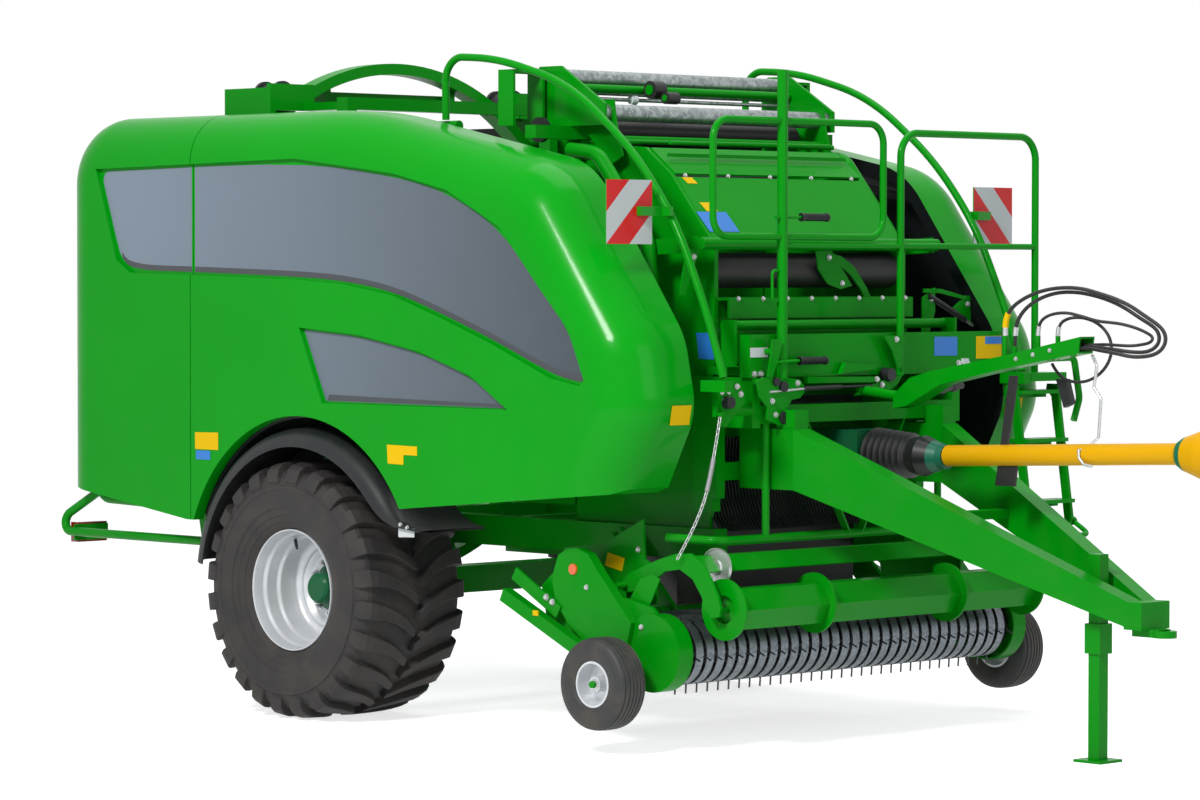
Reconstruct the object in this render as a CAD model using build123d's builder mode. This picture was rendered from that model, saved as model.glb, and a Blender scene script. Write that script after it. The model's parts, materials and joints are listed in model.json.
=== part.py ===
"""A towed round baler and bale wrapper in one machine, built piece by piece.

Stations are counted from the axle: X forward, Y to the machine's left, Z up from the ground, in
millimetres. The written pieces are moved so that the origin lies on the ground under the middle
of the machine's length and width.
"""

import math
import os

from build123d import *

os.makedirs("parts", exist_ok=True)

# Overall
REAR_END = -1925
FRONT_END = 4440
MIDDLE = (REAR_END + FRONT_END) / 2

# Main wheels, size 650/50 R 22.5
WHEEL_R = 611
WHEEL_Y = 1130
RIM_R = 286
CROWN_R = 589
LUG_COUNT = 24

# Gauge wheels of the pickup, size 16 x 6.50-8
GAUGE_R = 205
GAUGE_Y = 1352
GAUGE_X = 2050
GAUGE_Z = 312

# Side panels and doors
PANEL_OUT = 1442
PANEL_IN = 1045
PANEL_WALL = 60
PANEL_ROUND = 240
SEAM_X = -700
SEAM_GAP = 6
ARCH_X, ARCH_Z, ARCH_R = 95, 600, 835
DOOR_HINGE_Y, DOOR_HINGE_Z = 1020, 2842
DOOR_HINGES_X = (-450, 250)

# Bale chamber
CHAMBER_X, CHAMBER_Z = 1150, 1850
CHAMBER_R = 640
CHAMBER_HALF = 620
CHAMBER_PLATE = 25
ROLLER_R = 58
TAILGATE_X = 1150
TAILGATE_HINGE_Z = 2630

# Wrapping ring, its film rolls and the table under the bale
RING_X, RING_Z = -860, 1863
RING_OUT, RING_IN = 1300, 1245
RING_WIDE = 100
FILM_R, FILM_LONG, FILM_AT = 115, 750, 1118
TABLE_ROLLER_R, TABLE_ROLLER_DX, TABLE_ROLLER_Z = 100, 380, 1216
TABLE_PIVOT_Z = 1030
TABLE_HALF = 550

# Pickup
PICKUP_PIVOT_X, PICKUP_PIVOT_Z = 1500, 900
PICKUP_HALF = 1150
REEL_X, REEL_Z, REEL_R = 2170, 440, 105
GUIDE_PIVOT_X, GUIDE_PIVOT_Z = 1905, 720
CROP_ROLLER_X, CROP_ROLLER_Z = 2455, 640

# Drawbar, jack and drive shaft
HITCH_X, HITCH_Z = 4085, 575
JACK_X = 3725
SHAFT_END = (4160, 0, 1345)

SPLINE_R = 17.45

# Small fits
RUNNING = 0.05
GAP = 5


def place(side, near, far):
    """The two Y limits of something that lies between near and far on one side."""
    return (near, far) if side > 0 else (-far, -near)


def slab(x_limits, y_limits, z_limits):
    """Adds a box between pairs of limits."""
    centre = [sum(pair) / 2 for pair in (x_limits, y_limits, z_limits)]
    with Locations(tuple(centre)):
        Box(*[pair[1] - pair[0] for pair in (x_limits, y_limits, z_limits)])


def side_plate(outline, y_limits, mode=Mode.ADD):
    """Adds a plate of an XZ outline between two Y limits."""
    with BuildSketch(Plane.XZ.offset(-y_limits[0])) as outline_face:
        with BuildLine():
            Polyline(*outline, close=True)
        make_face()
    extrude(outline_face.sketch, amount=y_limits[0] - y_limits[1], mode=mode)


def disc_y(x, z, radius, y_limits, mode=Mode.ADD):
    """Adds a cylinder along Y."""
    with BuildSketch(Plane.XZ.offset(-y_limits[0])) as end_face:
        with Locations((x, z)):
            Circle(radius)
    extrude(end_face.sketch, amount=y_limits[0] - y_limits[1], mode=mode)


def rod(start, end, radius, mode=Mode.ADD):
    """Adds a round bar between two points."""
    run = Vector(*end) - Vector(*start)
    with BuildSketch(Plane(origin=start, z_dir=run)) as end_face:
        Circle(radius)
    extrude(end_face.sketch, amount=run.length, mode=mode)


def beam(start, end, wide, deep, mode=Mode.ADD):
    """Adds a square-cut bar between two points, wide across and deep upwards."""
    run = Vector(*end) - Vector(*start)
    across = Vector(0, 0, 1).cross(run)
    if across.length < 1:
        across = Vector(0, 1, 0)
    with BuildSketch(Plane(origin=start, x_dir=across, z_dir=run)) as end_face:
        Rectangle(wide, deep)
    extrude(end_face.sketch, amount=run.length, mode=mode)


def bent_tube(points, bends, radius, sides=0):
    """Adds a round or many-sided tube along straight runs joined by tangent arcs."""
    with BuildLine() as route:
        FilletPolyline(*points, radius=bends)
    with BuildSketch(Plane(origin=route.line @ 0, z_dir=route.line % 0)) as end_face:
        if sides:
            RegularPolygon(radius, sides)
        else:
            Circle(radius)
    sweep(end_face.sketch, path=route.line)


def write(name, block):
    """Moves a finished piece into the machine's frame and writes it."""
    piece = block.part.moved(Location((-MIDDLE, 0, 0)))
    piece.label = name
    export_step(piece, f"parts/{name}.step")


SIDES = {"right": -1, "left": 1}

# ---------------------------------------------------------------- wheels


def faceted_ring(x, z, y, section, facets):
    """Adds a ring of flat facets, whose section is (distance from the middle, radius) pairs."""
    turns = [2 * math.pi * (n + 0.5) / facets for n in range(facets + 1)]
    rings = [
        [Vector(x + up * math.sin(turn), y + across, z + up * math.cos(turn)) for turn in turns]
        for across, up in section + section[:1]
    ]
    faces = [
        Face(Wire.make_polygon([one[n], one[n + 1], other[n + 1], other[n]], close=True))
        for one, other in zip(rings, rings[1:])
        for n in range(facets)
    ]
    add(Solid(Shell(faces)))


def tyre(x, z, y, outside, inside, facets):
    """Adds a tyre from half profiles of its outside and air space, open at the rim."""
    outer = [(-across, up) for across, up in outside] + outside[::-1]
    inner = inside + [(-across, up) for across, up in inside[::-1]]
    faceted_ring(x, z, y, outer + inner, facets)


def turned_about_y(section, x, z, y, side=1):
    """Adds what a section of (distance outwards along Y, radius) sweeps about an axle."""
    with BuildSketch(Plane(origin=(x, y, z), x_dir=(0, 1, 0), z_dir=(1, 0, 0))) as half_section:
        with BuildLine():
            Polyline(*[(side * along, up) for along, up in section], close=True)
        make_face()
    revolve(half_section.sketch, axis=Axis((x, y, z), (0, 1, 0)))


def turned_about_x(section, x, z, y=0):
    """Adds what a section of (distance forwards along X, radius) sweeps about a shaft."""
    with BuildSketch(Plane(origin=(x, y, z), x_dir=(1, 0, 0), z_dir=(0, -1, 0))) as half_section:
        with BuildLine():
            Polyline(*section, close=True)
        make_face()
    revolve(half_section.sketch, axis=Axis((x, y, z), (1, 0, 0)))


RIM_SECTION = [
    (-258, RIM_R),
    (-258, RIM_R - 14),
    (-16, RIM_R - 36),
    (-16, 113),
    (4, 113),
    (4, RIM_R - 60),
    (40, RIM_R - 36),
    (258, RIM_R - 14),
    (258, RIM_R),
]
HUB_SECTION = [
    (-125, 45 + RUNNING),
    (-125, 95),
    (-40, 95),
    (-40, 150),
    (-16, 150),
    (-16, 112.5),
    (20, 112.5),
    (40, 80),
    (105, 72),
    (118, 60),
    (118, 0),
    (40, 0),
    (40, 45 + RUNNING),
]

# Half profiles from the bead to the crown, as (distance from the middle, radius).
TYRE_OUTSIDE = [(258, 289), (313, 400), (306, 540), (284, CROWN_R)]
TYRE_INSIDE = [(245, 289), (262, CROWN_R - 34)]
# One lug as (round the tread, across it): a curved bar from beside the middle to the shoulder.
LUG = [(36, 14), (76, 14), (3, 150), (-40, 312), (-78, 312), (-41, 150)]

with BuildPart() as main_tyre:
    tyre(0, WHEEL_R, WHEEL_Y, TYRE_OUTSIDE, TYRE_INSIDE, 24)
    lugs = []
    for half in (-1, 1):
        for n in range(LUG_COUNT):
            turn = math.radians(360 / LUG_COUNT * (n + half / 4))
            outward = Vector(math.sin(turn), 0, math.cos(turn))
            along = Vector(math.cos(turn), 0, -math.sin(turn))
            root = Vector(0, WHEEL_Y, WHEEL_R) + outward * (CROWN_R - 22)
            with BuildSketch(Plane(origin=root, x_dir=along, z_dir=outward)) as tread:
                with BuildLine():
                    Polyline(*[(round_it, half * across) for round_it, across in LUG], close=True)
                make_face()
            lugs.append(extrude(tread.sketch, amount=606 - CROWN_R + 22, mode=Mode.PRIVATE))
    add(lugs)

for name, side in SIDES.items():
    with BuildPart() as tyre_here:
        add(main_tyre.part if side > 0 else mirror(main_tyre.part, about=Plane.XZ))
    write(f"tyre_{name}", tyre_here)

    # A deep dish: the disc sits in the middle of the barrel.
    with BuildPart() as rim:
        turned_about_y(RIM_SECTION, 0, WHEEL_R, side * WHEEL_Y, side)
    write(f"rim_{name}", rim)

    with BuildPart() as hub:
        turned_about_y(HUB_SECTION, 0, WHEEL_R, side * WHEEL_Y, side)
    write(f"hub_{name}", hub)

# ---------------------------------------------------------------- frame and axle

RAIL_IN, RAIL_OUT = 600, 680
RAIL_LOW, RAIL_TOP = 820, 960
RAIL_BACK, RAIL_FRONT = -420, 2080
POST_OUT = 700

with BuildPart() as axle_beam:
    slab((-65, 65), (-1000, 1000), (WHEEL_R - 65, WHEEL_R + 65))
    for side in (-1, 1):
        disc_y(0, WHEEL_R, 45, place(side, 1000, WHEEL_Y + 36))
        slab((-95, 95), place(side, RAIL_IN, RAIL_OUT), (WHEEL_R + 65, RAIL_LOW))
write("axle_beam", axle_beam)

with BuildPart() as chassis_frame:
    for side in (-1, 1):
        slab((RAIL_BACK, RAIL_FRONT), place(side, RAIL_IN, RAIL_OUT), (RAIL_LOW, RAIL_TOP))
    for x in (RAIL_BACK + 40, 500, 960):
        slab((x - 40, x + 40), (-RAIL_IN, RAIL_IN), (RAIL_LOW + 20, RAIL_TOP - 20))
    for side in (-1, 1):
        slab((-910, -420), place(side, 300, 380), (990, 1070))
        slab((-460, -380), place(side, 300, 380), (RAIL_LOW + 20, 990))
        disc_y(RING_X, TABLE_PIVOT_Z, 20, place(side, 380, 425))
        disc_y(PICKUP_PIVOT_X, PICKUP_PIVOT_Z, 25, place(side, RAIL_OUT, 765))
write("chassis_frame", chassis_frame)

# The frame ahead of the chamber: side plates, cross members, the platform's beam and the tube
# that keeps crop and feet out over the pickup.
with BuildPart() as front_frame:
    for side in (-1, 1):
        plate = place(side, CHAMBER_HALF + CHAMBER_PLATE + 3, POST_OUT)
        slab((1960, 2330), plate, (1420, 1645))
        slab((1960, 2110), plate, (1100, 1420))
        slab((1960, 2080), place(side, CHAMBER_HALF + CHAMBER_PLATE, POST_OUT), (1040, 1100))
        rod((2300, side * 582, 1445), (2300, side * 582, 925), 17)
        beam((2300, side * 330, 1445), (2300, side * 40, 925), 40, 10)
        slab((2185, 2268), place(side, 735, 750), (1692, 1900))
    slab((2250, 2330), (-POST_OUT, POST_OUT), (1440, 1520))
    slab((2050, 2110), (-POST_OUT, POST_OUT), (1180, 1260))
    disc_y(2312, 1500, 24, (-905, -POST_OUT))
    slab((2320, 2340), (-945, -850), (1478, 1600))
    rod((2340, -929, 1488), (2364, -929, 1488), 9)
    slab((2270, 2330), (-720, 1010), (1645, 1835))
    disc_y(2200, 1875, 22, (-750, 750))
    bent_tube(
        [(2060, -965, 935), (2300, -880, 925), (2300, 880, 925), (2060, 965, 935)], [70, 70], 21
    )
write("front_frame", front_frame)

with BuildPart() as platform_deck:
    slab((2050, 2268), (-700, 1010), (1655, 1690))
    slab((2334, 2480), (1040, 1300), (1600, 1640))
    for side in (-1, 1):
        slab((2334, 2480), place(side, 985, 1035), (1590, 1640))
write("platform_deck", platform_deck)

# Tubes round the top of the chamber, from the film unit down to the platform.
with BuildPart() as cross_tubes:
    for side in (-1, 1):
        bent_tube(
            [
                (1300, side * 830, 2670),
                (1480, side * 830, 2650),
                (1800, side * 830, 2270),
                (1845, side * 830, 1780),
            ],
            [110, 200],
            35,
        )
        beam((1815, side * 790, 2225), (2085, side * 790, 2240), 14, 70)
    disc_y(2100, 2240, 28, (-797, 797))
write("cross_tubes", cross_tubes)

# Round tubes that carry the side panels past the ring, ending in the side bumpers.
with BuildPart() as panel_frame:
    for side in (-1, 1):
        bent_tube(
            [
                (720, side * 985, 2790),
                (-1560, side * 985, 2790),
                (-1560, side * 1330, 2380),
                (-1560, side * 1330, 985),
                (-790, side * 1330, 965),
            ],
            [90, 120, 90],
            25,
        )
        bent_tube(
            [
                (-1560, side * 1250, 1060),
                (-1895, side * 1280, 880),
                (REAR_END + 22, side * 1290, 800),
                (-760, side * 1290, 800),
            ],
            [60, 50],
            22,
        )
        rod((-1560, side * 1250, 1060), (-1560, side * 1330, 1060), 22)
        slab((-1823, -1815), place(side, 1080, 1290), (755, 835))
        beam((-740, side * 1330, 1010), (-740, side * 1290, 780), 60, 40)
        beam((-800, side * 1330, 966), (-710, side * 1330, 966), 60, 50)
        for x in DOOR_HINGES_X:
            slab((x - 32, x - 18), place(side, 992, DOOR_HINGE_Y + 13), (2795, 2856))
            rod((x - 32, side * DOOR_HINGE_Y, DOOR_HINGE_Z), (x + 30, side * DOOR_HINGE_Y, DOOR_HINGE_Z), 10)
write("panel_frame", panel_frame)

def ring_point(degrees, radius):
    """A (Y, Z) point at an angle from the ring's top towards the left."""
    turn = math.radians(degrees)
    return radius * math.sin(turn), RING_Z + radius * math.cos(turn)


GUIDE_R = 57
GUIDE_AT = RING_OUT + GAP + GUIDE_R
GUIDE_ANGLES = (-35, 35, -140, 140)

# Uprights of the wrapping section, ahead of the ring.
with BuildPart() as wrap_frame:
    for side in (-1, 1):
        slab((-410, -330), place(side, RAIL_IN, RAIL_OUT), (RAIL_TOP, 2860))
        slab((-410, -330), place(side, RAIL_OUT, 958), (2760, 2840))
        slab((-660, -330), place(side, 700, 760), (2900, 2940))
        slab((-410, -330), place(side, 700, 760), (2840, 2900))
        y, z = ring_point(side * 35, GUIDE_AT)
        rod((RING_X + 73, y, z), (-690, y, z), 18)
        slab((-690, -660), place(side, 690, 970), (2900, 3030))
        slab((-1010, -660), place(side, 862, 972), (2900, 2925))
        slab((-1010, -660), place(side, 955, 972), (2900, 3010))
        slab((-1010, -990), place(side, 880, 972), (2900, 3010))
        slab((-1010, -660), place(side, 940, 972), (2826, 2900))
        y, z = ring_point(side * 140, GUIDE_AT)
        rod((RING_X + 73, y, z), (-745, y, z), 18)
        slab((-765, -745), place(side, 820, 930), (660, 860))
        slab((-765, -700), place(side, 700, 930), (660, 720))
        slab((-700, -330), place(side, 700, 750), (660, 720))
        slab((-410, -330), place(side, 620, 750), (720, RAIL_LOW))
    slab((-410, -330), (-760, 760), (2900, 2960))
write("wrap_frame", wrap_frame)

# ---------------------------------------------------------------- wrapping ring


with BuildPart() as ring_rollers:
    for angle in GUIDE_ANGLES:
        y, z = ring_point(angle, GUIDE_AT)
        half = RING_WIDE / 2 + GAP
        turned_about_x(
            [
                (-half - 18, 0),
                (-half - 18, GUIDE_R + 16),
                (-half, GUIDE_R + 16),
                (-half, GUIDE_R),
                (half, GUIDE_R),
                (half, GUIDE_R + 16),
                (half + 18, GUIDE_R + 16),
                (half + 18, 0),
            ],
            RING_X,
            z,
            y,
        )
write("ring_rollers", ring_rollers)

with BuildPart() as wrap_ring:
    with BuildSketch(Plane.YZ.offset(RING_X - RING_WIDE / 2)) as ring_face:
        with Locations((0, RING_Z)):
            Circle(RING_OUT)
            Circle(RING_IN, mode=Mode.SUBTRACT)
    extrude(ring_face.sketch, amount=RING_WIDE)
    for side in (-1, 1):
        chord = RING_Z + side * 1115
        slab((RING_X - 130, RING_X - 60), (-430, 430), sorted((chord - 35, chord + 35)))
        for y in (-420, 420):
            slab(
                (RING_X - 60, RING_X - 10),
                (y - 18, y + 18),
                sorted((RING_Z + side * 1080, RING_Z + side * 1200)),
            )
            slab(
                (RING_X - 130, RING_X - 10),
                (y - 18, y + 18),
                sorted((RING_Z + side * 1080, RING_Z + side * 1150)),
            )
write("wrap_ring", wrap_ring)

with BuildPart() as film_dispensers:
    for side in (-1, 1):
        for x in (RING_X - FILM_LONG / 2 - 12, RING_X + FILM_LONG / 2 + 2):
            slab((x, x + 10), place(side, 1060, 1175), (RING_Z - 200, RING_Z + 185))
        slab(
            (RING_X - FILM_LONG / 2 - 12, RING_X + FILM_LONG / 2 + 12),
            place(side, 1060, 1175),
            (RING_Z + 145, RING_Z + 185),
        )
        slab((RING_X - 45, RING_X + 45), place(side, 1175, 1250), (RING_Z + 145, RING_Z + 175))
        for z in (RING_Z - 150, RING_Z - 185):
            rod(
                (RING_X - FILM_LONG / 2 - 4, side * 1115, z),
                (RING_X + FILM_LONG / 2 + 4, side * 1115, z),
                16,
            )
write("film_dispensers", film_dispensers)

with BuildPart() as film_rolls:
    for side in (-1, 1):
        rod(
            (RING_X - FILM_LONG / 2, side * FILM_AT, RING_Z),
            (RING_X + FILM_LONG / 2, side * FILM_AT, RING_Z),
            FILM_R,
        )
write("film_rolls", film_rolls)

# ---------------------------------------------------------------- wrapping table

with BuildPart() as table_frame:
    for side in (-1, 1):
        slab(
            (RING_X - 440, RING_X + 430),
            place(side, TABLE_HALF - 25, TABLE_HALF),
            (1160, 1260),
        )
        side_plate(
            [(RING_X - 60, 985), (RING_X + 60, 985), (RING_X + 90, 1100), (RING_X - 90, 1100)],
            place(side, 390, 420),
        )
        disc_y(RING_X, TABLE_PIVOT_Z, 20 + RUNNING, place(side, 390, 420), Mode.SUBTRACT)
        slab((RING_X - 40, RING_X + 40), place(side, 390, TABLE_HALF), (1100, 1175))
    slab((RING_X - 40, RING_X + 40), (-390, 390), (1100, 1175))
write("table_frame", table_frame)

with BuildPart() as table_rollers:
    for dx in (-TABLE_ROLLER_DX, TABLE_ROLLER_DX):
        disc_y(
            RING_X + dx,
            TABLE_ROLLER_Z,
            TABLE_ROLLER_R,
            (-TABLE_HALF + 30, TABLE_HALF - 30),
        )
        disc_y(RING_X + dx, TABLE_ROLLER_Z, 25, (-TABLE_HALF + 25, TABLE_HALF - 25))
write("table_rollers", table_rollers)

# ---------------------------------------------------------------- bale chamber


def chamber_point(degrees, radius=CHAMBER_R + ROLLER_R + 2):
    """An (X, Z) point at an angle from straight ahead, counted upwards."""
    turn = math.radians(degrees)
    return CHAMBER_X + radius * math.cos(turn), CHAMBER_Z + radius * math.sin(turn)


def chamber_rollers(angles):
    """Adds the rollers that press the bale, between the side walls."""
    for angle in angles:
        x, z = chamber_point(angle)
        disc_y(x, z, ROLLER_R, (-CHAMBER_HALF + 4, CHAMBER_HALF - 4))
        disc_y(x, z, 22, (-CHAMBER_HALF, CHAMBER_HALF))


WALL_Y = (CHAMBER_HALF, CHAMBER_HALF + CHAMBER_PLATE)
FRONT_WALL = [
    (TAILGATE_X + 6, RAIL_TOP),
    (2010, RAIL_TOP),
    (2040, 1300),
    (2040, 2230),
    (1760, 2560),
    (1600, 2680),
    (TAILGATE_X + 6, 2720),
]
BACK_WALL = [
    (TAILGATE_X - 6, 1030),
    (760, 1030),
    (470, 1330),
    (380, 1850),
    (470, 2330),
    (800, 2640),
    (TAILGATE_X - 6, 2620),
]

with BuildPart() as chamber_walls:
    for side in (-1, 1):
        side_plate(FRONT_WALL, place(side, *WALL_Y))
        side_plate(
            [(1110, 2590), (1190, 2590), (1240, 2660), (1240, 2721), (1080, 2721), (1080, 2660)],
            place(side, 678, 700),
        )
        disc_y(TAILGATE_X, TAILGATE_HINGE_Z, 22, place(side, 652, 678))
        slab((1160, 1240), place(side, 645, 678), (2690, 2721))
    beam((1612, 0, 2675), (1768, 0, 2556), 2 * CHAMBER_HALF, 10)
    beam((1772, 0, 2540), (2030, 0, 2236), 2 * CHAMBER_HALF, 12)
    slab((2020, 2034), (-CHAMBER_HALF, CHAMBER_HALF), (1700, 2000))
    slab((2034, 2110), (-CHAMBER_HALF, CHAMBER_HALF), (1985, 1997))
    slab((2098, 2110), (-CHAMBER_HALF, CHAMBER_HALF), (1905, 1985))
write("chamber_walls", chamber_walls)

with BuildPart() as front_rollers:
    chamber_rollers(range(-60, 81, 28))
write("front_rollers", front_rollers)

with BuildPart() as intake_housing:
    slab((1260, 1760), (-RAIL_IN + 5, RAIL_IN - 5), (600, 1000))
write("intake_housing", intake_housing)

with BuildPart() as tailgate_walls:
    for side in (-1, 1):
        side_plate(BACK_WALL, place(side, *WALL_Y))
        slab((1080, 1140), place(side, CHAMBER_HALF + CHAMBER_PLATE, 652), (2540, 2610))
        side_plate(
            [(1080, 2540), (1140, 2540), (1190, 2620), (1180, 2662), (1120, 2665), (1080, 2620)],
            place(side, 652, 673),
        )
        disc_y(TAILGATE_X, TAILGATE_HINGE_Z, 22 + RUNNING, place(side, 651, 674), Mode.SUBTRACT)
write("tailgate_walls", tailgate_walls)

with BuildPart() as tailgate_rollers:
    chamber_rollers(range(112, 253, 28))
write("tailgate_rollers", tailgate_rollers)

# ---------------------------------------------------------------- top of the chamber

with BuildPart() as film_frame:
    slab((1180, 1250), (-1000, 1000), (2722, 2782))
    for side in (-1, 1):
        side_plate(
            [(1000, 2782), (1470, 2782), (1470, 2880), (1180, 3060), (1040, 3060), (1000, 3020)],
            place(side, 760, 775),
        )
        slab((1000, 1100), place(side, 800, 815), (2782, 3040))
        slab((1000, 1100), place(side, 985, 1000), (2782, 3040))
        slab((1000, 1100), place(side, 815, 985), (3025, 3040))
        upper = [(1250, 2790), (1300, 2840), (1350, 2900), (1460, 2900)]
        side_plate(upper + [(1475, 2800), (1520, 2640), (1440, 2600)], place(side, 700, 712))
        disc_y(1415, 2840, 39 + RUNNING, place(side, 699, 713), Mode.SUBTRACT)
    disc_y(1184, 2962, 20, (-775, 775))
    disc_y(1460, 2722, 14, (-700, 700))
    disc_y(1524, 2707, 12, (-700, 700))
write("film_frame", film_frame)

with BuildPart() as film_rods:
    disc_y(1117, 3010, 39, (-760, 760))
    disc_y(1415, 2840, 39, (-760, 760))
    for x, z in ((1095, 2945), (1180, 2915)):
        disc_y(x, z, 9, (-760, 760))
write("film_rods", film_rods)

# Rollers and spools of black rubber and plastic.
with BuildPart() as black_rollers:
    disc_y(1310, 2760, 52, (-640, 640))
    disc_y(1950, 2120, 80, (-CHAMBER_HALF, CHAMBER_HALF))
    for x, y, z, radius in ((1254, -230, 2962, 42), (1340, -215, 2922, 28)):
        disc_y(x, z, radius, (y - 38, y + 38))
    disc_y(1110, 2766, 58, (-850, -825))
write("black_rollers", black_rollers)

# ---------------------------------------------------------------- side panels and doors

PANEL_CORNERS = [
    (-1750, 500),
    (-1750, 2870),
    (350, 2870),
    (1680, 2600),
    (2250, 1830),
    (2320, 1500),
    (2140, 1150),
    (1850, 500),
]
PANEL_BENDS = [330, 2600, 430, 380, 290, 290]
PANEL_FOOT = [
    (-2200, 300),
    (2700, 300),
    (2700, 1420),
    (2330, 1235),
    (2080, 1140),
    (790, 1027),
    (790, 900),
    (-730, 915),
    (-1700, 1045),
    (-1770, 1110),
    (-2200, 1110),
]


# The sunk field of each side panel, and the small one under it.
FIELD = [
    (-1440, 2615),
    (70, 2640),
    (770, 2560),
    (1130, 2480),
    (1480, 2310),
    (1730, 2050),
    (1920, 1860),
    (2020, 1640),
    (1990, 1615),
    (1810, 1645),
    (1420, 1795),
    (1090, 1905),
    (760, 2005),
    (420, 2055),
    (70, 2075),
    (-680, 2095),
    (-1170, 2105),
    (-1280, 2170),
]
SMALL_FIELD = [(105, 1850), (530, 1820), (945, 1750), (1290, 1645), (1530, 1500), (270, 1500)]
SUNK = 22


def panel_shell(inset):
    """The closed form of one side's cladding, drawn in all round by an inset."""
    with BuildPart() as shell:
        with BuildSketch(Plane.XZ.offset(-PANEL_IN)) as outline:
            with BuildLine():
                FilletPolyline(*PANEL_CORNERS, radius=PANEL_BENDS, close=False)
                Line(PANEL_CORNERS[-1], PANEL_CORNERS[0])
            make_face()
            if inset:
                offset(amount=-inset)
        extrude(outline.sketch, amount=PANEL_IN - PANEL_OUT + inset)
        rim_edges = shell.edges().filter_by_position(
            Axis.Y, PANEL_OUT - inset - 1, PANEL_OUT - inset + 1
        )
        fillet(rim_edges.filter_by(lambda edge: edge.center().Z > 560), PANEL_ROUND - inset)
    return shell.part


def cladding(x_limits, side):
    """One side's panel between two X limits, hollow, with its wheel arch cut."""
    with BuildPart() as panel:
        add(panel_shell(0))
        add(panel_shell(PANEL_WALL), mode=Mode.SUBTRACT)
        slab_depth = PANEL_OUT - PANEL_IN + 20
        side_plate(PANEL_FOOT, (PANEL_IN - 10, PANEL_IN + slab_depth), Mode.SUBTRACT)
        disc_y(ARCH_X, ARCH_Z, ARCH_R, (PANEL_IN - 10, PANEL_IN + slab_depth), Mode.SUBTRACT)
        for outline in (FIELD, SMALL_FIELD):
            side_plate(outline, (PANEL_OUT - SUNK, PANEL_OUT + 10), Mode.SUBTRACT)
        with Locations((sum(x_limits) / 2, 1250, 1800)):
            Box(x_limits[1] - x_limits[0], 800, 2600, mode=Mode.INTERSECT)
    return panel.part if side > 0 else mirror(panel.part, about=Plane.XZ)


for name, side in SIDES.items():
    with BuildPart() as rear_panel:
        add(cladding((-2000, SEAM_X - SEAM_GAP / 2), side))
    write(f"rear_panel_{name}", rear_panel)
    with BuildPart() as side_door:
        add(cladding((SEAM_X + SEAM_GAP / 2, 2600), side))
        for x in DOOR_HINGES_X:
            slab((x - 10, x + 14), place(side, DOOR_HINGE_Y - 14, PANEL_IN + 20), (2828, 2856))
            pin = (x, side * DOOR_HINGE_Y, DOOR_HINGE_Z)
            rod(pin, (x + 20, *pin[1:]), 10 + RUNNING, Mode.SUBTRACT)
            rod(pin, (x - 20, *pin[1:]), 10 + RUNNING, Mode.SUBTRACT)
    write(f"side_door_{name}", side_door)

# A black guard over each main wheel, with an outer skirt and a lip at the front.
GUARD_X, GUARD_Z, GUARD_R = 75, 600, 785
with BuildPart() as mudguards:
    for side in (-1, 1):
        limits = place(side, 1040, 1450)
        disc_y(GUARD_X, GUARD_Z, GUARD_R, limits)
        disc_y(GUARD_X, GUARD_Z, GUARD_R - 25, place(side, 1039, 1425), Mode.SUBTRACT)
        disc_y(GUARD_X, GUARD_Z, GUARD_R - 95, place(side, 1424, 1451), Mode.SUBTRACT)
        side_plate([(-900, -300), (1000, -300), (1000, 720), (-900, 720)], limits, Mode.SUBTRACT)
        cut = [(620, 1400), (1000, 1400), (1000, 600), (620, 600)]
        side_plate(cut, limits, Mode.SUBTRACT)
        side_plate([(600, 1173), (600, 1130), (780, 960), (955, 905), (960, 935), (795, 995)], limits)
write("mudguards", mudguards)

# ---------------------------------------------------------------- platform rails


def easy_bends(points):
    """The largest radii that two neighbouring runs leave room for, one for each corner."""
    bends = []
    for before, here, after in zip(points, points[1:], points[2:]):
        run_in, run_out = Vector(*here) - Vector(*before), Vector(*after) - Vector(*here)
        turn = math.radians(run_in.get_angle(run_out))
        bends.append(0.45 * min(run_in.length, run_out.length) / math.tan(turn / 2))
    return bends


ARC_POINTS = [
    (655, 2818),
    (650, 3112),
    (1000, 3092),
    (1480, 2962),
    (1900, 2645),
    (2160, 2330),
    (2350, 1930),
    (2450, 1652),
]
with BuildPart() as arc_rails:
    for side in (-1, 1):
        route = [(x, side * 1010, z) for x, z in ARC_POINTS]
        bent_tube(route, [110] + easy_bends(route)[1:], 17.5)
write("arc_rails", arc_rails)

with BuildPart() as warning_boards:
    for side in (-1, 1):
        slab((2078, 2084), place(side, 1085, 1367), (2235, 2517))
        slab((2084, 2110), place(side, 1040, 1180), (2360, 2400))
        slab((2084, 2160), place(side, 1030, 1050), (2360, 2400))
write("warning_boards", warning_boards)

with BuildPart() as guard_rails:
    rod((2354, -535, 1640), (2354, -535, 3010), 24)
    bent_tube(
        [
            (2354, -540, 2270),
            (2354, -979, 2270),
            (2354, -979, 2785),
            (2354, 136, 2785),
            (2354, 136, 2270),
            (2354, -530, 2270),
        ],
        [90, 90, 90, 90],
        16,
    )
    bent_tube(
        [(2354, 256, 1640), (2354, 256, 2750), (2354, 1215, 2750), (2354, 1215, 1640)], [110, 110], 17
    )
    rod((2354, -535, 2232), (2354, 1215, 2232), 14)
    bent_tube([(2354, -535, 2120), (2354, -600, 2120), (2354, -600, 1985), (2354, -535, 1985)], [20, 20], 7)
write("guard_rails", guard_rails)

# ---------------------------------------------------------------- drawbar, jack and shaft

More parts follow.
